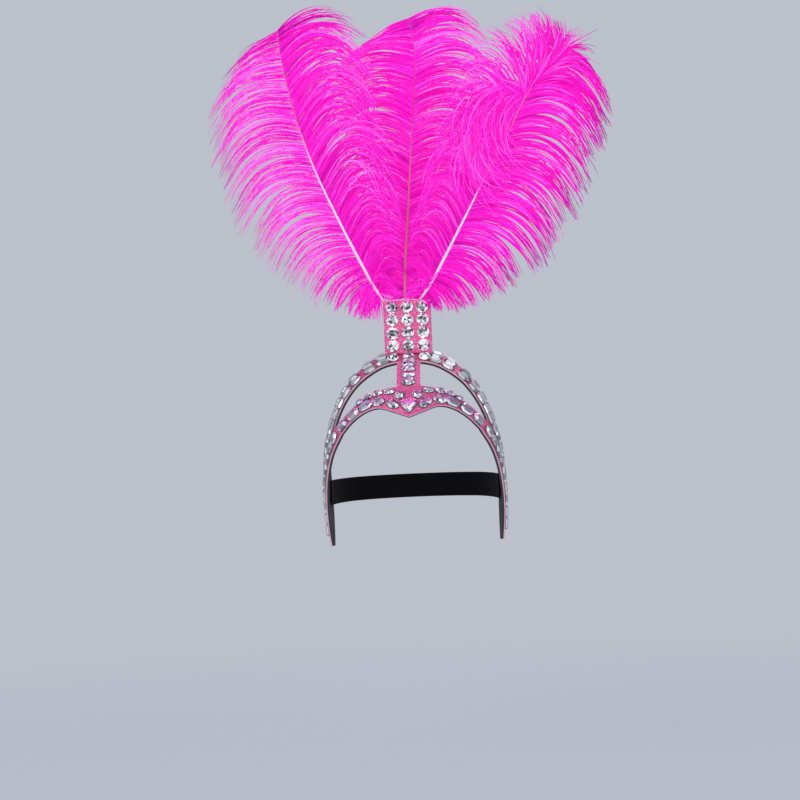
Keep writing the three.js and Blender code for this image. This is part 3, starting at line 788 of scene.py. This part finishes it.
def mottled_material(name, finish, dark, light, scale, bump, distance=0.0003):
    """Material with mottled colour and a fine relief."""
    mat, tree, shader = new_material(name, finish)
    mottle = tree.nodes.new("ShaderNodeGroup")
    mottle.node_tree = MOTTLE
    mottle.inputs["Dark"].default_value = (*dark, 1)
    mottle.inputs["Light"].default_value = (*light, 1)
    mottle.inputs["Scale"].default_value = scale
    relief = add_node(tree, "ShaderNodeBump", Strength=bump, Distance=distance)
    link(tree, mottle, "Height", relief, "Height")
    link(tree, relief, "Normal", shader, "Normal")
    link(tree, mottle, "Color", shader, "Base Color")
    return mat, tree, shader


def foam_material():
    """Dark foam sheet with a fine open grain."""
    finish = {"Roughness": 0.82}
    return mottled_material("foam_sheet", finish, (0.016, 0.017, 0.021), (0.07, 0.072, 0.084), 2200.0, 0.5)[0]


def cut_edge_material():
    """Pale cut edge of the cloth, where its backing shows."""
    finish = {"Roughness": 0.7}
    return mottled_material("cloth_cut_edge", finish, (0.7, 0.3, 0.42), (0.95, 0.62, 0.72), 900.0, 0.3)[0]


def elastic_material():
    """Woven elastic: a dark uneven thread."""
    finish = {"Roughness": 0.9, "Specular IOR Level": 0.12}
    dark, light = (0.001, 0.001, 0.0012), (0.007, 0.007, 0.008)
    return mottled_material("woven_elastic", finish, dark, light, 1500.0, 0.5)[0]


def glue_material():
    """Glossy set glue, milky, with a pink tint painted in for the plumes' colour that it reflects."""
    finish = {"Roughness": 0.16, "Coat Weight": 0.5}
    return mottled_material("set_glue", finish, (0.86, 0.74, 0.82), (1.0, 0.96, 0.98), 300.0, 0.3, 0.0005)[0]


def floor_material():
    """Pale floor that fades out towards its rim."""
    finish = {"Roughness": 0.9}
    dark, light = (0.5, 0.52, 0.56), (0.54, 0.56, 0.6)
    mat, tree, shader = mottled_material("pale_floor", finish, dark, light, 40.0, 0.02)
    reach = add_node(tree, "ShaderNodeAttribute", attribute_name="reach")
    fade = add_node(tree, "ShaderNodeMapRange", interpolation_type="SMOOTHSTEP", **{
        "From Min": FLOOR_FADE_FROM, "To Min": 1.0, "To Max": 0.0})
    link(tree, reach, "Fac", fade, "Value")
    link(tree, fade, "Result", shader, "Alpha")
    return mat


def cloth_material():
    """Glitter cloth: each flake is a small cell with its own tint, gloss and height, and a few are metal; a
    painted shade, set per face, darkens it towards crimson.
    """
    mat, tree, shader = new_material("glitter_cloth", {})
    where = tree.nodes.new("ShaderNodeTexCoord")
    flakes = add_node(tree, "ShaderNodeTexVoronoi", Scale=1900.0)
    split = tree.nodes.new("ShaderNodeSeparateColor")
    tint = ramp(tree, [(0.0, (0.5, 0.035, 0.18)), (0.45, (0.78, 0.09, 0.3)), (0.8, (0.9, 0.16, 0.42)),
                       (1.0, (1.0, 0.5, 0.74))])
    # Painted shade: the per-face value multiplies the cloth's colour towards crimson
    deep = add_node(tree, "ShaderNodeAttribute", attribute_name="deep")
    shade = add_node(tree, "ShaderNodeMixRGB", blend_type="MULTIPLY", Color2=(0.5, 0.2, 0.3, 1))
    gloss = add_node(tree, "ShaderNodeMapRange", **{"To Min": 0.25, "To Max": 0.7})
    metal = add_node(tree, "ShaderNodeMath", operation="GREATER_THAN")
    metal.inputs[1].default_value = 0.72
    relief = add_node(tree, "ShaderNodeBump", Strength=0.6, Distance=0.0002)
    link(tree, where, "Object", flakes, "Vector")
    link(tree, flakes, "Color", split, "Color")
    link(tree, split, "Red", tint, "Fac")
    link(tree, deep, "Fac", shade, "Fac")
    link(tree, tint, "Color", shade, "Color1")
    link(tree, shade, "Color", shader, "Base Color")
    link(tree, split, "Green", gloss, "Value")
    link(tree, gloss, "Result", shader, "Roughness")
    link(tree, split, "Blue", metal, 0)
    link(tree, metal, "Value", shader, "Metallic")
    link(tree, split, "Red", relief, "Height")
    link(tree, relief, "Normal", shader, "Normal")
    return mat


def crystal_material(name, metallic, roughness, coat, glint, clear):
    """Clear stone on a bright foil: each facet sends back its own share of light, set by its painted facet
    tone; bright facets also glow as painted glints, and the plumes' painted pink reflection tints both.
    """
    mat, tree, shader = new_material(name, {
        "Metallic": metallic, "Roughness": roughness, "Coat Weight": coat, "Coat Roughness": 0.03,
        "Emission Strength": glint})
    # Each facet's tone paints its reflection, from shaded to bright; the second attribute paints the plumes'
    # pink reflection over it; bright facets also glow by emission as painted glints
    facet = add_node(tree, "ShaderNodeAttribute", attribute_name="facet")
    plume_reflection = add_node(tree, "ShaderNodeAttribute", attribute_name="plume_reflection")
    greys = [(0.0, (0.05, 0.055, 0.07)), (0.35, (0.35, 0.365, 0.4)), (0.7, (0.75, 0.77, 0.8)),
             (1.0, (1.0, 1.0, 1.0))]
    tint = ramp(tree, [(at, tuple(clear * c for c in grey)) for at, grey in greys])
    glow = ramp(tree, [(0.0, (0.0, 0.0, 0.0)), (0.6, (0.12, 0.12, 0.13)), (0.85, (0.55, 0.55, 0.57)),
                       (1.0, (1.0, 1.0, 1.0))])
    for node, socket in ((tint, "Base Color"), (glow, "Emission Color")):
        pink = add_node(tree, "ShaderNodeMixRGB", blend_type="MULTIPLY", Color2=(1.0, 0.1, 0.72, 1))
        link(tree, facet, "Fac", node, "Fac")
        link(tree, plume_reflection, "Fac", pink, "Fac")
        link(tree, node, "Color", pink, "Color1")
        link(tree, pink, "Color", shader, socket)
    return mat


def plume_material():
    """Dyed barbs, from the deep purple of shaded strands to the pale pink of lit ones, painted in by their
    tone, with a faint glow of their own colour by emission that is painted light.
    """
    mat, tree, shader = new_material("dyed_plume", {
        "Roughness": 0.55, "Specular IOR Level": 0.18, "Sheen Weight": 0.12,
        "Sheen Tint": (1.0, 0.2, 0.85, 1), "Emission Strength": 0.2})
    tone = add_node(tree, "ShaderNodeAttribute", attribute_name="tone")
    tint = ramp(tree, [(0.0, (0.36, 0.005, 0.28)), (0.35, (0.87, 0.003, 0.59)), (0.7, (0.92, 0.03, 0.74)),
                       (1.0, (0.93, 0.24, 0.86))])
    link(tree, tone, "Fac", tint, "Fac")
    link(tree, tint, "Color", shader, "Base Color")
    link(tree, tint, "Color", shader, "Emission Color")
    return mat


def quill_material(name, root, tip):
    """Quill that is pale at its root and dyed towards its tip."""
    mat, tree, shader = new_material(name, {"Roughness": 0.35})
    along = add_node(tree, "ShaderNodeAttribute", attribute_name="along")
    tint = ramp(tree, [(0.0, root), (0.5, root), (0.68, tip), (1.0, tip)])
    link(tree, along, "Fac", tint, "Fac")
    link(tree, tint, "Color", shader, "Base Color")
    return mat


FOAM_SHEET = foam_material()
CLOTH = cloth_material()
# Stones: metalness, roughness, coat, strength of the painted glints that glow by emission, and brightness of
# the painted facet reflections
STONE = crystal_material("clear_stone", 0.8, 0.06, 0.5, 0.35, 1.0)
LONG_STONE = crystal_material("clear_long_stone", 0.4, 0.26, 0.25, 0.08, 0.76)
CUT_EDGE = cut_edge_material()
PLUME = plume_material()
ELASTIC = elastic_material()
GLUE = glue_material()


# Camera, light and floor

def add_camera():
    """Camera level with the headdress, turned and rolled a little."""
    right0 = np.array([math.cos(CAMERA_TURN), math.sin(CAMERA_TURN), 0])
    ahead = np.array([-math.sin(CAMERA_TURN), math.cos(CAMERA_TURN), 0])
    up0 = np.array([0, 0, 1.0])
    right = right0 * math.cos(CAMERA_ROLL) - up0 * math.sin(CAMERA_ROLL)
    up = right0 * math.sin(CAMERA_ROLL) + up0 * math.cos(CAMERA_ROLL)
    data = bpy.data.cameras.new("camera")
    data.sensor_width = SENSOR
    data.lens = FOCAL_PIXELS / PICTURE_PIXELS * SENSOR
    camera = bpy.data.objects.new("camera", data)
    bpy.context.scene.collection.objects.link(camera)
    where = CAMERA_TARGET - ahead * CAMERA_DISTANCE
    rows = np.column_stack([right, up, -ahead, where]).tolist()
    camera.matrix_world = Matrix(rows + [[0, 0, 0, 1]])
    bpy.context.scene.camera = camera


def add_softbox(name, where, aim, size, power):
    """Square softbox that points at its aim."""
    data = bpy.data.lights.new(name, "AREA")
    data.energy = power
    data.size = size
    lamp = bpy.data.objects.new(name, data)
    lamp.location = where
    lamp.rotation_euler = (Vector(aim) - Vector(where)).to_track_quat("-Z", "Y").to_euler()
    bpy.context.scene.collection.objects.link(lamp)


def add_stage():
    """Level floor, pale surroundings and the softboxes."""
    across = 2 * FLOOR_RADIUS / MM
    rim = oval_ring(FLOOR_SIDES, 0, across, across, FLOOR_HEIGHT / MM)
    middle = (0, 0, FLOOR_HEIGHT / MM)
    wedges = [(k, (k + 1) % FLOOR_SIDES, FLOOR_SIDES) for k in range(FLOOR_SIDES)]
    add_mesh("floor", np.vstack([rim, middle]), wedges, [floor_material()],
                      values={"reach": ("POINT", [1.0] * FLOOR_SIDES + [0.0])})
    world = bpy.data.worlds.new("studio")
    bpy.context.scene.world = world
    world.use_nodes = True
    back = world.node_tree.nodes["Background"]
    back.inputs["Color"].default_value = STUDIO_GREY
    back.inputs["Strength"].default_value = 1.0
    for row in SOFTBOXES:
        add_softbox(*row)
    bpy.context.scene.view_settings.view_transform = "Standard"


# The foam frame

def add_strip(name, grid, normals, depth=0.0, stones=()):
    """A strip of the frame: its foam, and its cloth with pale cut edges and the stones fused to it; depth is
    the painted shade on its cloth.
    """
    points, faces = strip_solid(grid, normals, -FOAM, 0.0, FOAM_ROUND)
    sheet = add_mesh(name + "_foam_sheet", points, outward(points, faces), [FOAM_SHEET])
    place(sheet, "foam", name + "_foam")
    points, faces = strip_solid(grid, normals, CLOTH_FROM, CLOTH_TO, EDGE_ROUND)
    faces = outward(points, faces)
    across = grid.shape[1]
    ring = 2 * across + 2
    cut = {across - 1, across, ring - 2, ring - 1}
    kinds = [CUT_FACE if k % ring in cut else CLOTH_FACE for k in range(len(faces) - 2)] + [CUT_FACE] * 2
    tones = [PLAIN_TONE] * len(faces)
    plume_reflections = [0.0] * len(faces)
    rng = np.random.default_rng(FIELD_SEED)
    for (spots, cuts, shades), origin, axes in stones:
        start = len(points)
        spots = spots @ axes + origin
        plume_reflections += painted_plume_reflection(spots, cuts, FIELD_PLUME_REFLECTION, rng)
        points = np.vstack([points, spots])
        faces = faces + [tuple(start + k for k in face) for face in cuts]
        tones += list(shades)
        kinds += [STONE_FACE] * len(cuts)
    # The cloth's faces carry painted shade, the fused stones' faces painted facet tones and the plumes'
    # painted pink reflection
    piece = add_mesh(name + "_glitter_cloth", points, faces, [CLOTH, LONG_STONE, CUT_EDGE], kinds, {
        "facet": ("FACE", tones), "plume_reflection": ("FACE", plume_reflections), "deep": ("FACE", [depth] * len(faces))})
    return place(piece, "glitter_cloth", name + "_facing")


def mirror_stones(stones):
    """Stones of the right arm mirrored to the left one."""
    mirrored = []
    for shape, origin, (along, across, out) in stones:
        axes = np.array([-flip_x(along), flip_x(across), flip_x(out)])
        mirrored.append((shape, flip_x(origin), axes))
    return mirrored


def frame_strips():
    """Grid and normals of the brow band, arch, right arm and post, with normals shared where strips meet."""
    brow, arch = brow_half(), arch_half()
    arm = arm_grid(brow[-1], arch[-1])
    post = post_grid()
    brow_n = grid_normals(both_halves(brow))
    arch_n = grid_normals(both_halves(arch))
    arm_n = grid_normals(arm)
    fork = np.concatenate([brow_n[-1], arch_n[-1][1:]])
    fork[STRIP_ACROSS] += arch_n[-1][0]
    fork = unit(fork + arm_n[0])
    arm_n[0] = fork
    brow_n[-1], arch_n[-1] = fork[:STRIP_ACROSS + 1], fork[STRIP_ACROSS:]
    brow_n[0], arch_n[0] = flip_x(brow_n[-1]), flip_x(arch_n[-1])
    return (both_halves(brow), brow_n), (both_halves(arch), arch_n), (arm, arm_n), (post, grid_normals(post))


def field_stone(strip, u, v, rng):
    """Long stone that is fused to a strip's cloth, on its seat: narrower where the strip is narrow."""
    grid, normals = strip
    length, width, height = FIELD_STONE
    across = np.linalg.norm(on_grid(grid, u, 1) - on_grid(grid, u, 0))
    shape = step_cut(length, min(width, FIELD_STONE_SHARE * across), height, rng)
    return shape, *seat(grid, normals, u, v, CLOTH_TO - FIELD_SINK)


def build_strips(brow, arch, arm, post, rng):
    """Foam and cloth of the frame, with the stones that are fused to arch and arms."""
    first, last, count = ARCH_FIELD
    arch_stones = [
        field_stone(arch, 0.5 + side * along / 2, across, rng)
        for along in np.linspace(first, last, count) for across in ARCH_FIELD_ROWS for side in (-1, 1)]
    arm_stones = [field_stone(arm, along, across, rng) for along, row in ARM_FIELD for across in row]
    left_arm = [flip_x(table)[:, ::-1] for table in arm]
    add_strip("brow", *brow, BROW_PAINTED_SHADE)
    add_strip("post", *post)
    add_strip("arch", *arch, SIDE_PAINTED_SHADE, arch_stones)
    add_strip("arm_right", *arm, SIDE_PAINTED_SHADE, arm_stones)
    add_strip("arm_left", *left_arm, SIDE_PAINTED_SHADE, mirror_stones(arm_stones))


def build_frame():
    """The frame's strips, then its stones: heart and pairs of the brow band, post, and top of the arch."""
    rng = np.random.default_rng(FRAME_SEED)
    brow, arch, arm, post = frame_strips()
    build_strips(brow, arch, arm, post, rng)
    origin, axes = seat(*brow, 0.5, HEART_ACROSS, CLOTH_TO)
    add_stone("brow_heart", heart_cut(HEART_SIZE, rng), origin, axes, HEART_PLUME_REFLECTION, rng)
    for name, along, across, length, width, turn, cut in BROW_STONES:
        for suffix, side in (("left", -1), ("right", 1)):
            origin, axes = seat(*brow, 0.5 + side * along / 2, across, CLOTH_TO)
            if cut == "oval":
                shape = brilliant(length, width, BROW_STONE_HEIGHT, rng, DARK_FOOT, "calm_")
            else:
                shape = step_cut(length, width, BROW_STONE_HEIGHT, rng)
            add_stone(f"{name}_{suffix}", shape, origin, turned(axes, -side * turn), BROW_PLUME_REFLECTION, rng)
    for k in range(POST_STONE_COUNT):
        origin, axes = seat(*post, (k + 0.5) / POST_STONE_COUNT, 0.5, CLOTH_TO)
        shape = brilliant(*POST_STONE, ROUND_STONE_HEIGHT, rng, DARK_FOOT, "calm_")
        add_stone(f"post_stone_{k + 1}", shape, origin, axes, BROW_PLUME_REFLECTION, rng)
    origin, axes = seat(*arch, 0.5, ARCH_CENTRE_ACROSS, CLOTH_TO)
    for k in range(ARCH_CENTRE_COUNT):
        shape = brilliant(ARCH_CENTRE_SIZE, ARCH_CENTRE_SIZE, ROUND_STONE_HEIGHT, rng)
        spot = origin + np.array([(k - 1) * ARCH_CENTRE_PITCH, 0, 0])
        add_stone(f"arch_stone_{k + 1}", shape, spot, axes, PLATE_PLUME_REFLECTION, rng)


# Holder plate with its stones and the glue on its top edge

def rounded_slab(low, high, radius):
    """Upright slab with eased corners in its front outline and eased front edges."""
    (x0, y0, z0), (x1, y1, z1) = low, high
    corners = [(x1 - radius, z0 + radius, -90), (x1 - radius, z1 - radius, 0),
               (x0 + radius, z1 - radius, 90), (x0 + radius, z0 + radius, 180)]
    outline = []
    for cx, cz, start in corners:
        for step in range(CORNER_STEPS + 1):
            angle = math.radians(start + step * 90 / CORNER_STEPS)
            outline.append((math.cos(angle), math.sin(angle), cx, cz))
    ease = min(radius, (y1 - y0) * MOST_EASE)
    rings = []
    for y, inset in ((y0, ease), (y0 + ease, 0), (y1 - ease, 0), (y1, ease)):
        reach = radius - inset
        rings.append([(cx + c * reach, y, cz + s * reach) for c, s, cx, cz in outline])
    return loft(rings)


def node_box(node):
    """Corners of a solid's box in millimetres."""
    low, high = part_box(node)
    return np.array(low) / MM, np.array(high) / MM


def build_plate():
    """Feather holder plate of cloth, foam and backing, with its rows of round stones."""
    rng = np.random.default_rng(PLATE_SEED)
    layers = [("plate_facing", CLOTH, "glitter_cloth"), ("plate_foam", FOAM_SHEET, "foam"),
              ("plate_backing", FOAM_SHEET, "foam")]
    for node, mat, slot in layers:
        points, faces = rounded_slab(*node_box(node), PLATE_CORNER)
        place(add_mesh(node + "_sheet", points, outward(points, faces), [mat]), slot, node)
    front = node_box("plate_facing")[0][1]
    axes = np.array([(1.0, 0, 0), (0, 0, 1.0), (0, -1.0, 0)])
    pitch_x, pitch_z = PLATE_STONE_PITCH
    for row in range(PLATE_ROWS):
        for column in range(PLATE_COLUMNS):
            where = np.array([(column - 1) * pitch_x, front, PLATE_STONE_BOTTOM + row * pitch_z])
            shape = brilliant(ROUND_STONE, ROUND_STONE, ROUND_STONE_HEIGHT, rng)
            spin = turned(axes, rng.uniform(0, PLATE_STONE_SPIN))
            add_stone(f"plate_stone_{row + 1}{column + 1}", shape, where, spin, PLATE_PLUME_REFLECTION, rng)


def build_glue():
    """Line of set glue that swells and thins along the plate's top edge."""
    low, high = node_box("glue_bead")
    lump_mean, lump_depth = GLUE_LUMPS
    quick, slow = GLUE_WAVES
    angle = np.linspace(0, math.pi, GLUE_AROUND)
    rings = []
    for t in np.linspace(0, 1, GLUE_STEPS):
        fill = GLUE_LEAST + (1 - GLUE_LEAST) * math.sin(math.pi * t) ** GLUE_FILL
        swell = fill * (lump_mean + lump_depth * math.sin(t * quick) * math.sin(t * slow + 1))
        half = (high[1] - low[1]) / 2 * (0.5 + 0.5 * swell)
        x, y, z = low[0] + (high[0] - low[0]) * t, (low[1] + high[1]) / 2, low[2] - GLUE_SINK
        rise = (high[2] - low[2]) * swell
        rings.append(np.column_stack([
            np.full(GLUE_AROUND, x), y - half * np.cos(angle), z + rise * np.sin(angle)]))
    points, faces = loft(rings)
    bead = add_mesh("glue_line", points, outward(points, faces), [GLUE], smooth=True)
    place(bead, "glue", "glue_bead")


# Elastic strap

def build_strap():
    """Ribbed elastic strap from arm to arm, all the way round the back."""
    half = [(x, y, 0) for x, y in STRAP_ROUTE]
    route = even_curve(half + [(-x, y, 0) for x, y, _ in half[-2::-1]], STRAP_ROWS)
    tangent = unit(np.gradient(route, axis=0))
    side = np.column_stack([tangent[:, 1], -tangent[:, 0], np.zeros(len(route))])
    ribs = np.linspace(STRAP_LOW, STRAP_HIGH, STRAP_RIBS * 2 + 1)
    outer = [(RIB_TOP if k % 2 else RIB_GROOVE, z) for k, z in enumerate(ribs)]
    section = outer + [(-across, z) for across, z in outer[::-1]]
    rings = []
    for spot, out in zip(route, side):
        rings.append([spot + out * across * STRAP_THICK + np.array([0, 0, z]) for across, z in section])
    points, faces = loft(rings)
    strap = add_mesh("elastic_strap", points, outward(points, faces), [ELASTIC])
    place(strap, "elastic", "head_strap")


# Plumes

def barb_paths(curve, along, side, spread, length, droop, depth, curl=0.0):
    """Paths of barbs that leave the quill at their own angle, droop under their weight and may curl."""
    run = np.linspace(0, 1, len(curve))
    tangent = unit(between(along, run, unit(np.gradient(curve, axis=0))))
    across = unit(sideways(tangent)) * side
    point = between(along, run, curve)
    paths = [point]
    for step in range(BARB_STEPS):
        u = (step + 0.5) / BARB_STEPS
        turn = spread + np.radians(curl) * u
        heading = tangent * np.cos(turn)[:, None] + across * np.sin(turn)[:, None]
        heading[:, 2] -= droop * u**DROOP_POWER
        point = point + unit(heading) * (length / BARB_STEPS)[:, None]
        paths.append(point)
    paths = np.array(paths).transpose(1, 0, 2)
    u = np.linspace(0, 1, BARB_STEPS + 1)
    paths[:, :, 1] += depth[:, None] * np.sin(u * math.pi / 2)[None, :]
    return paths


def downiness(along):
    """How downy a barb is: wholly so at the plume's foot, and not at all above a quarter of it."""
    return np.clip((DOWN_END - along) / DOWN_SPAN, 0, 1)


def tip_painted_shade(along):
    """How much painted shade deepens the barbs at the very tip of the quill."""
    return TIP_PAINTED_SHADE * np.clip((along - TIP_FROM) / (1 - TIP_FROM), 0, 1)


def vane(curve, name, side, outer, first, lean, rng):
    """Barb paths of one side of a plume, in loose tufts, with their tones, downiness and fading ends."""
    count = BARBS_PER_SIDE
    share = np.clip(np.linspace(0, 1, count) + rng.normal(0, FOOT_STRAY, count), 0, 1)
    along = first + (1 - first) * share**CROWDING
    sizes = rng.integers(*TUFT_SIZES, count)
    tuft = np.repeat(np.arange(count), sizes)[:count]
    tufts = tuft.max() + 1
    centre = np.array([along[tuft == k].mean() for k in range(tufts)])
    rows = np.array(VANES[name, side], float).T

    def table(column, at):
        return np.interp(at, rows[0], rows[column])

    def paths(at, turn, stretch, sag, depth):
        spread = np.radians(table(1, at) + turn)
        return barb_paths(curve, at, side, spread, table(2, at) * stretch, table(3, at) * sag, depth)

    def near_one(stray, least, most):
        return np.clip(rng.normal(1, stray, tufts), least, most)

    turn = rng.normal(0, TUFT_TURN, tufts) * table(4, centre)
    stretch = near_one(*TUFT_STRETCH)
    sag = near_one(*TUFT_SAG)
    depth = lean * rng.uniform(*TUFT_DEPTH, tufts)
    leader = paths(centre, turn, stretch, sag, depth)[tuft]
    own_turn = rng.normal(0, BARB_TURN, count) * table(4, along)
    own_stretch = stretch[tuft] * rng.uniform(*BARB_STRETCH, count)
    own_sag = rng.uniform(*BARB_SAG, count)
    own = paths(along, own_turn, own_stretch, own_sag, depth[tuft] + lean * rng.uniform(*BARB_DEPTH, count))
    u = np.linspace(0, 1, BARB_STEPS + 1)
    pull = (TUFT_PULL * u**2)[None, :, None]
    tone = rng.normal(0, TUFT_TONE, tufts)[tuft] + np.clip(rng.normal(0, BARB_TONE, count), *TONE_STRAY)
    # Painted shade on the barbs at the tip of the quill
    tone -= tip_painted_shade(along)
    barbs = wavy(own * (1 - pull) + leader * pull, rng)
    cover = VANE_COVER.get((name, side), PLAIN_COVER)
    return barbs, tone, downiness(along), EDGE_FADE * (side == outer), cover


def wavy(paths, rng):
    """Barbs with a slight wave of their own towards their free ends."""
    count, rings = paths.shape[:2]
    u = np.linspace(0, 1, rings)[None, :]
    waves = rng.uniform(*BARB_WAVES, (count, 1))
    swing = rng.normal(0, BARB_WAVE, (count, 1)) * u * np.sin(2 * math.pi * waves * u)
    return paths + sideways(unit(np.gradient(paths, axis=1))) * swing[..., None]


def loose_tuft(curve, side, first, last, count, spread, stray, length, droop, curl, lean, rng):
    """Barb paths of one loose tuft, with the same values as those of a vane."""
    along = rng.uniform(first, last, count)
    turn = np.radians(spread + rng.normal(0, stray, count))
    reach = length * rng.uniform(*LOOSE_REACH, count)
    sag = droop * rng.uniform(*LOOSE_SAG, count)
    bend = curl * rng.uniform(*LOOSE_CURL, count)
    depth = lean * rng.uniform(*LOOSE_DEPTH, count)
    paths = barb_paths(curve, along, side, turn, reach, sag, depth, bend)
    tone = np.clip(rng.normal(*LOOSE_TONE, count), *TONE_STRAY)
    # The downy foot is lifted by painted light against its shade, and the tip deepened by painted shade
    tone += FOOT_LIFT * downiness(along) - tip_painted_shade(along)
    return wavy(paths, rng), tone, downiness(along), EDGE_FADE * (curl == 0), PLAIN_COVER


def ribbons(paths, half_widths, tones, roll):
    """Flat ribbons along paths, each turned about its own line by its roll."""
    count, rings = paths.shape[:2]
    heading = unit(np.gradient(paths, axis=1))
    flat = unit(sideways(heading))
    face = np.cross(heading, flat)
    roll = roll[:, None, None]
    breadth = (flat * np.cos(roll) + face * np.sin(roll)) * half_widths[None, :, None]
    points = np.stack([paths - breadth, paths + breadth], axis=2).reshape(-1, 3)
    base = (np.arange(count)[:, None] * rings + np.arange(rings - 1)[None, :]).ravel() * 2
    tris = np.concatenate([
        np.column_stack([base, base + 1, base + 3]), np.column_stack([base, base + 3, base + 2])])
    return points, tris, tones.repeat(2, axis=1).ravel()


def strand_tones(share, tone, down, fade):
    """Tones at shares along strands, deepened near the quill by painted shade and darker at fading ends;
    downy ones stay evenly deep.
    """
    tone_along = np.interp(share, *np.transpose(STRAND_TONES))
    tone_along = tone_along - fade * np.clip((share - FADE_FROM) / (1 - FADE_FROM), 0, 1)
    return tone_along * (1 - down) + FOOT_TONE * down + tone


def loose_barbules(paths, tone, down, fade, rng):
    """Fine barbules that leave the inner part of each barb at a narrow angle, wider on downy barbs."""
    count, rings = paths.shape[:2]
    length = np.linalg.norm(np.diff(paths, axis=1), axis=2).sum(axis=1)
    owner = np.repeat(np.arange(count), np.maximum(1, (length / BARBULE_PITCH).astype(int)))
    total = len(owner)
    soft = down[owner]
    share = rng.uniform(0, 1, total) * (BARBULE_END + (DOWNY_END - BARBULE_END) * soft)
    at = share * (rings - 1)
    i = np.minimum(at.astype(int), rings - 2)
    w = (at - i)[:, None]
    root = paths[owner, i] * (1 - w) + paths[owner, i + 1] * w
    ahead = unit(paths[owner, i + 1] - paths[owner, i])
    flat = unit(sideways(ahead))
    roll = rng.normal(0, BARBULE_ROLL, total)[:, None]
    sides = rng.choice([-1.0, 1.0], total)[:, None]
    out = (flat * np.cos(roll) + np.array([0, 1.0, 0]) * np.sin(roll)) * sides
    angle = (rng.uniform(*BARBULE_ANGLE, total) * (1 + DOWNY_ANGLE * soft))[:, None]
    reach = BARBULE_LENGTH * (1 - BARBULE_SHRINK * share) * rng.uniform(*BARBULE_REACH, total)
    reach = (reach * (1 + DOWNY_REACH * soft))[:, None]
    tip = root + reach * (ahead * np.cos(angle) + out * np.sin(angle))
    wide = unit(np.cross(tip - root, rng.normal(0, 1, (total, 3)))) * BARBULE_WIDTH / 2
    points = np.stack([root - wide, root + wide, tip], axis=1).reshape(-1, 3)
    shade = strand_tones(share, tone[owner], soft, fade) + rng.normal(0, BARBULE_TONE, total)
    return points, np.arange(total * 3).reshape(-1, 3), shade.repeat(3)


def barb_mesh(paths, tone, down, fade, cover, rng):
    """Strands, the webs behind them and the loose barbules of a set of barbs."""
    count, rings = paths.shape[:2]
    strand_width, taper, web_width, web_end, shift = cover
    tone = tone + shift
    u = np.linspace(0, 1, rings)
    strand_tone = strand_tones(u[None, :], tone[:, None], down[:, None], fade)
    strand_half = strand_width / 2 * (1 - taper * u**2)
    strands = ribbons(paths, strand_half, strand_tone, rng.normal(0, STRAND_ROLL, count))
    inner = u <= web_end
    web_half = web_width / 2 * (1 - (u[inner] / web_end) ** 3)
    web_tone = WEB_SHARE * tone[:, None] + np.interp(u[inner], *np.transpose(WEB_TONES))[None, :]
    behind = paths[:, inner] + np.array([0, WEB_BEHIND, 0])
    webs = ribbons(behind, web_half, web_tone, rng.normal(0, WEB_ROLL, count))
    points, tris, tones = [], [], []
    start = 0
    for spots, corners, shade in (strands, webs, loose_barbules(paths, tone, down, fade, rng)):
        points.append(spots)
        tris.append(corners + start)
        tones.append(shade)
        start += len(spots)
    return np.vstack(points), np.vstack(tris), np.concatenate(tones)


def quill_mesh(curve):
    """Tapered quill along a plume's curve, with each point's share along it."""
    shares = np.linspace(0, 1, QUILL_STEPS)
    rows = curve[np.linspace(0, len(curve) - 1, QUILL_STEPS).astype(int)]
    tangent = unit(np.gradient(rows, axis=0))
    across = unit(sideways(tangent))
    front = np.cross(tangent, across)
    radius = np.interp(shares, *np.transpose(QUILL_RADII))[:, None, None]
    angle = np.linspace(0, 2 * math.pi, QUILL_SIDES, endpoint=False)[None, :, None]
    rings = rows[:, None] + radius * (across[:, None] * np.cos(angle) + front[:, None] * np.sin(angle))
    points, faces = loft(rings)
    return points, outward(points, faces), np.repeat(shares, QUILL_SIDES)


def build_plumes():
    """The three plumes: barbs of both vanes, loose tufts and the quill, as one piece each."""
    for name, lean, outer, first, seed, route in FEATHERS:
        rng = np.random.default_rng(seed)
        curve = even_curve(route, QUILL_POINTS)
        points, faces, tones, kinds, shares = [], [], [], [], []
        start = 0
        locks = [vane(curve, name, side, outer, first, lean, rng) for side in (-1, 1)]
        locks += [loose_tuft(curve, *row, lean, rng) for plume, *row in LOOSE_TUFTS if plume == name]
        for lock in locks:
            spots, tris, shade = barb_mesh(*lock, rng)
            points.append(spots)
            faces += (tris + start).tolist()
            tones.append(shade)
            kinds += [BARB_FACE] * len(tris)
            shares.append(np.zeros(len(spots)))
            start += len(spots)
        spots, quads, share = quill_mesh(curve)
        points.append(spots)
        faces += [tuple(start + k for k in face) for face in quads]
        kinds += [QUILL_FACE] * len(quads)
        tones.append(np.full(len(spots), PLAIN_TONE))
        shares.append(share)
        quill = quill_material(name + "_quill", *QUILL_COLOURS[name])
        values = {"tone": ("POINT", np.concatenate(tones)), "along": ("POINT", np.concatenate(shares))}
        plume = add_mesh(name + "_plume", np.vstack(points), faces, [PLUME, quill], kinds, values)
        place(plume, "plume", name)


add_camera()
add_stage()
build_frame()
build_plate()
build_glue()
build_strap()
build_plumes()
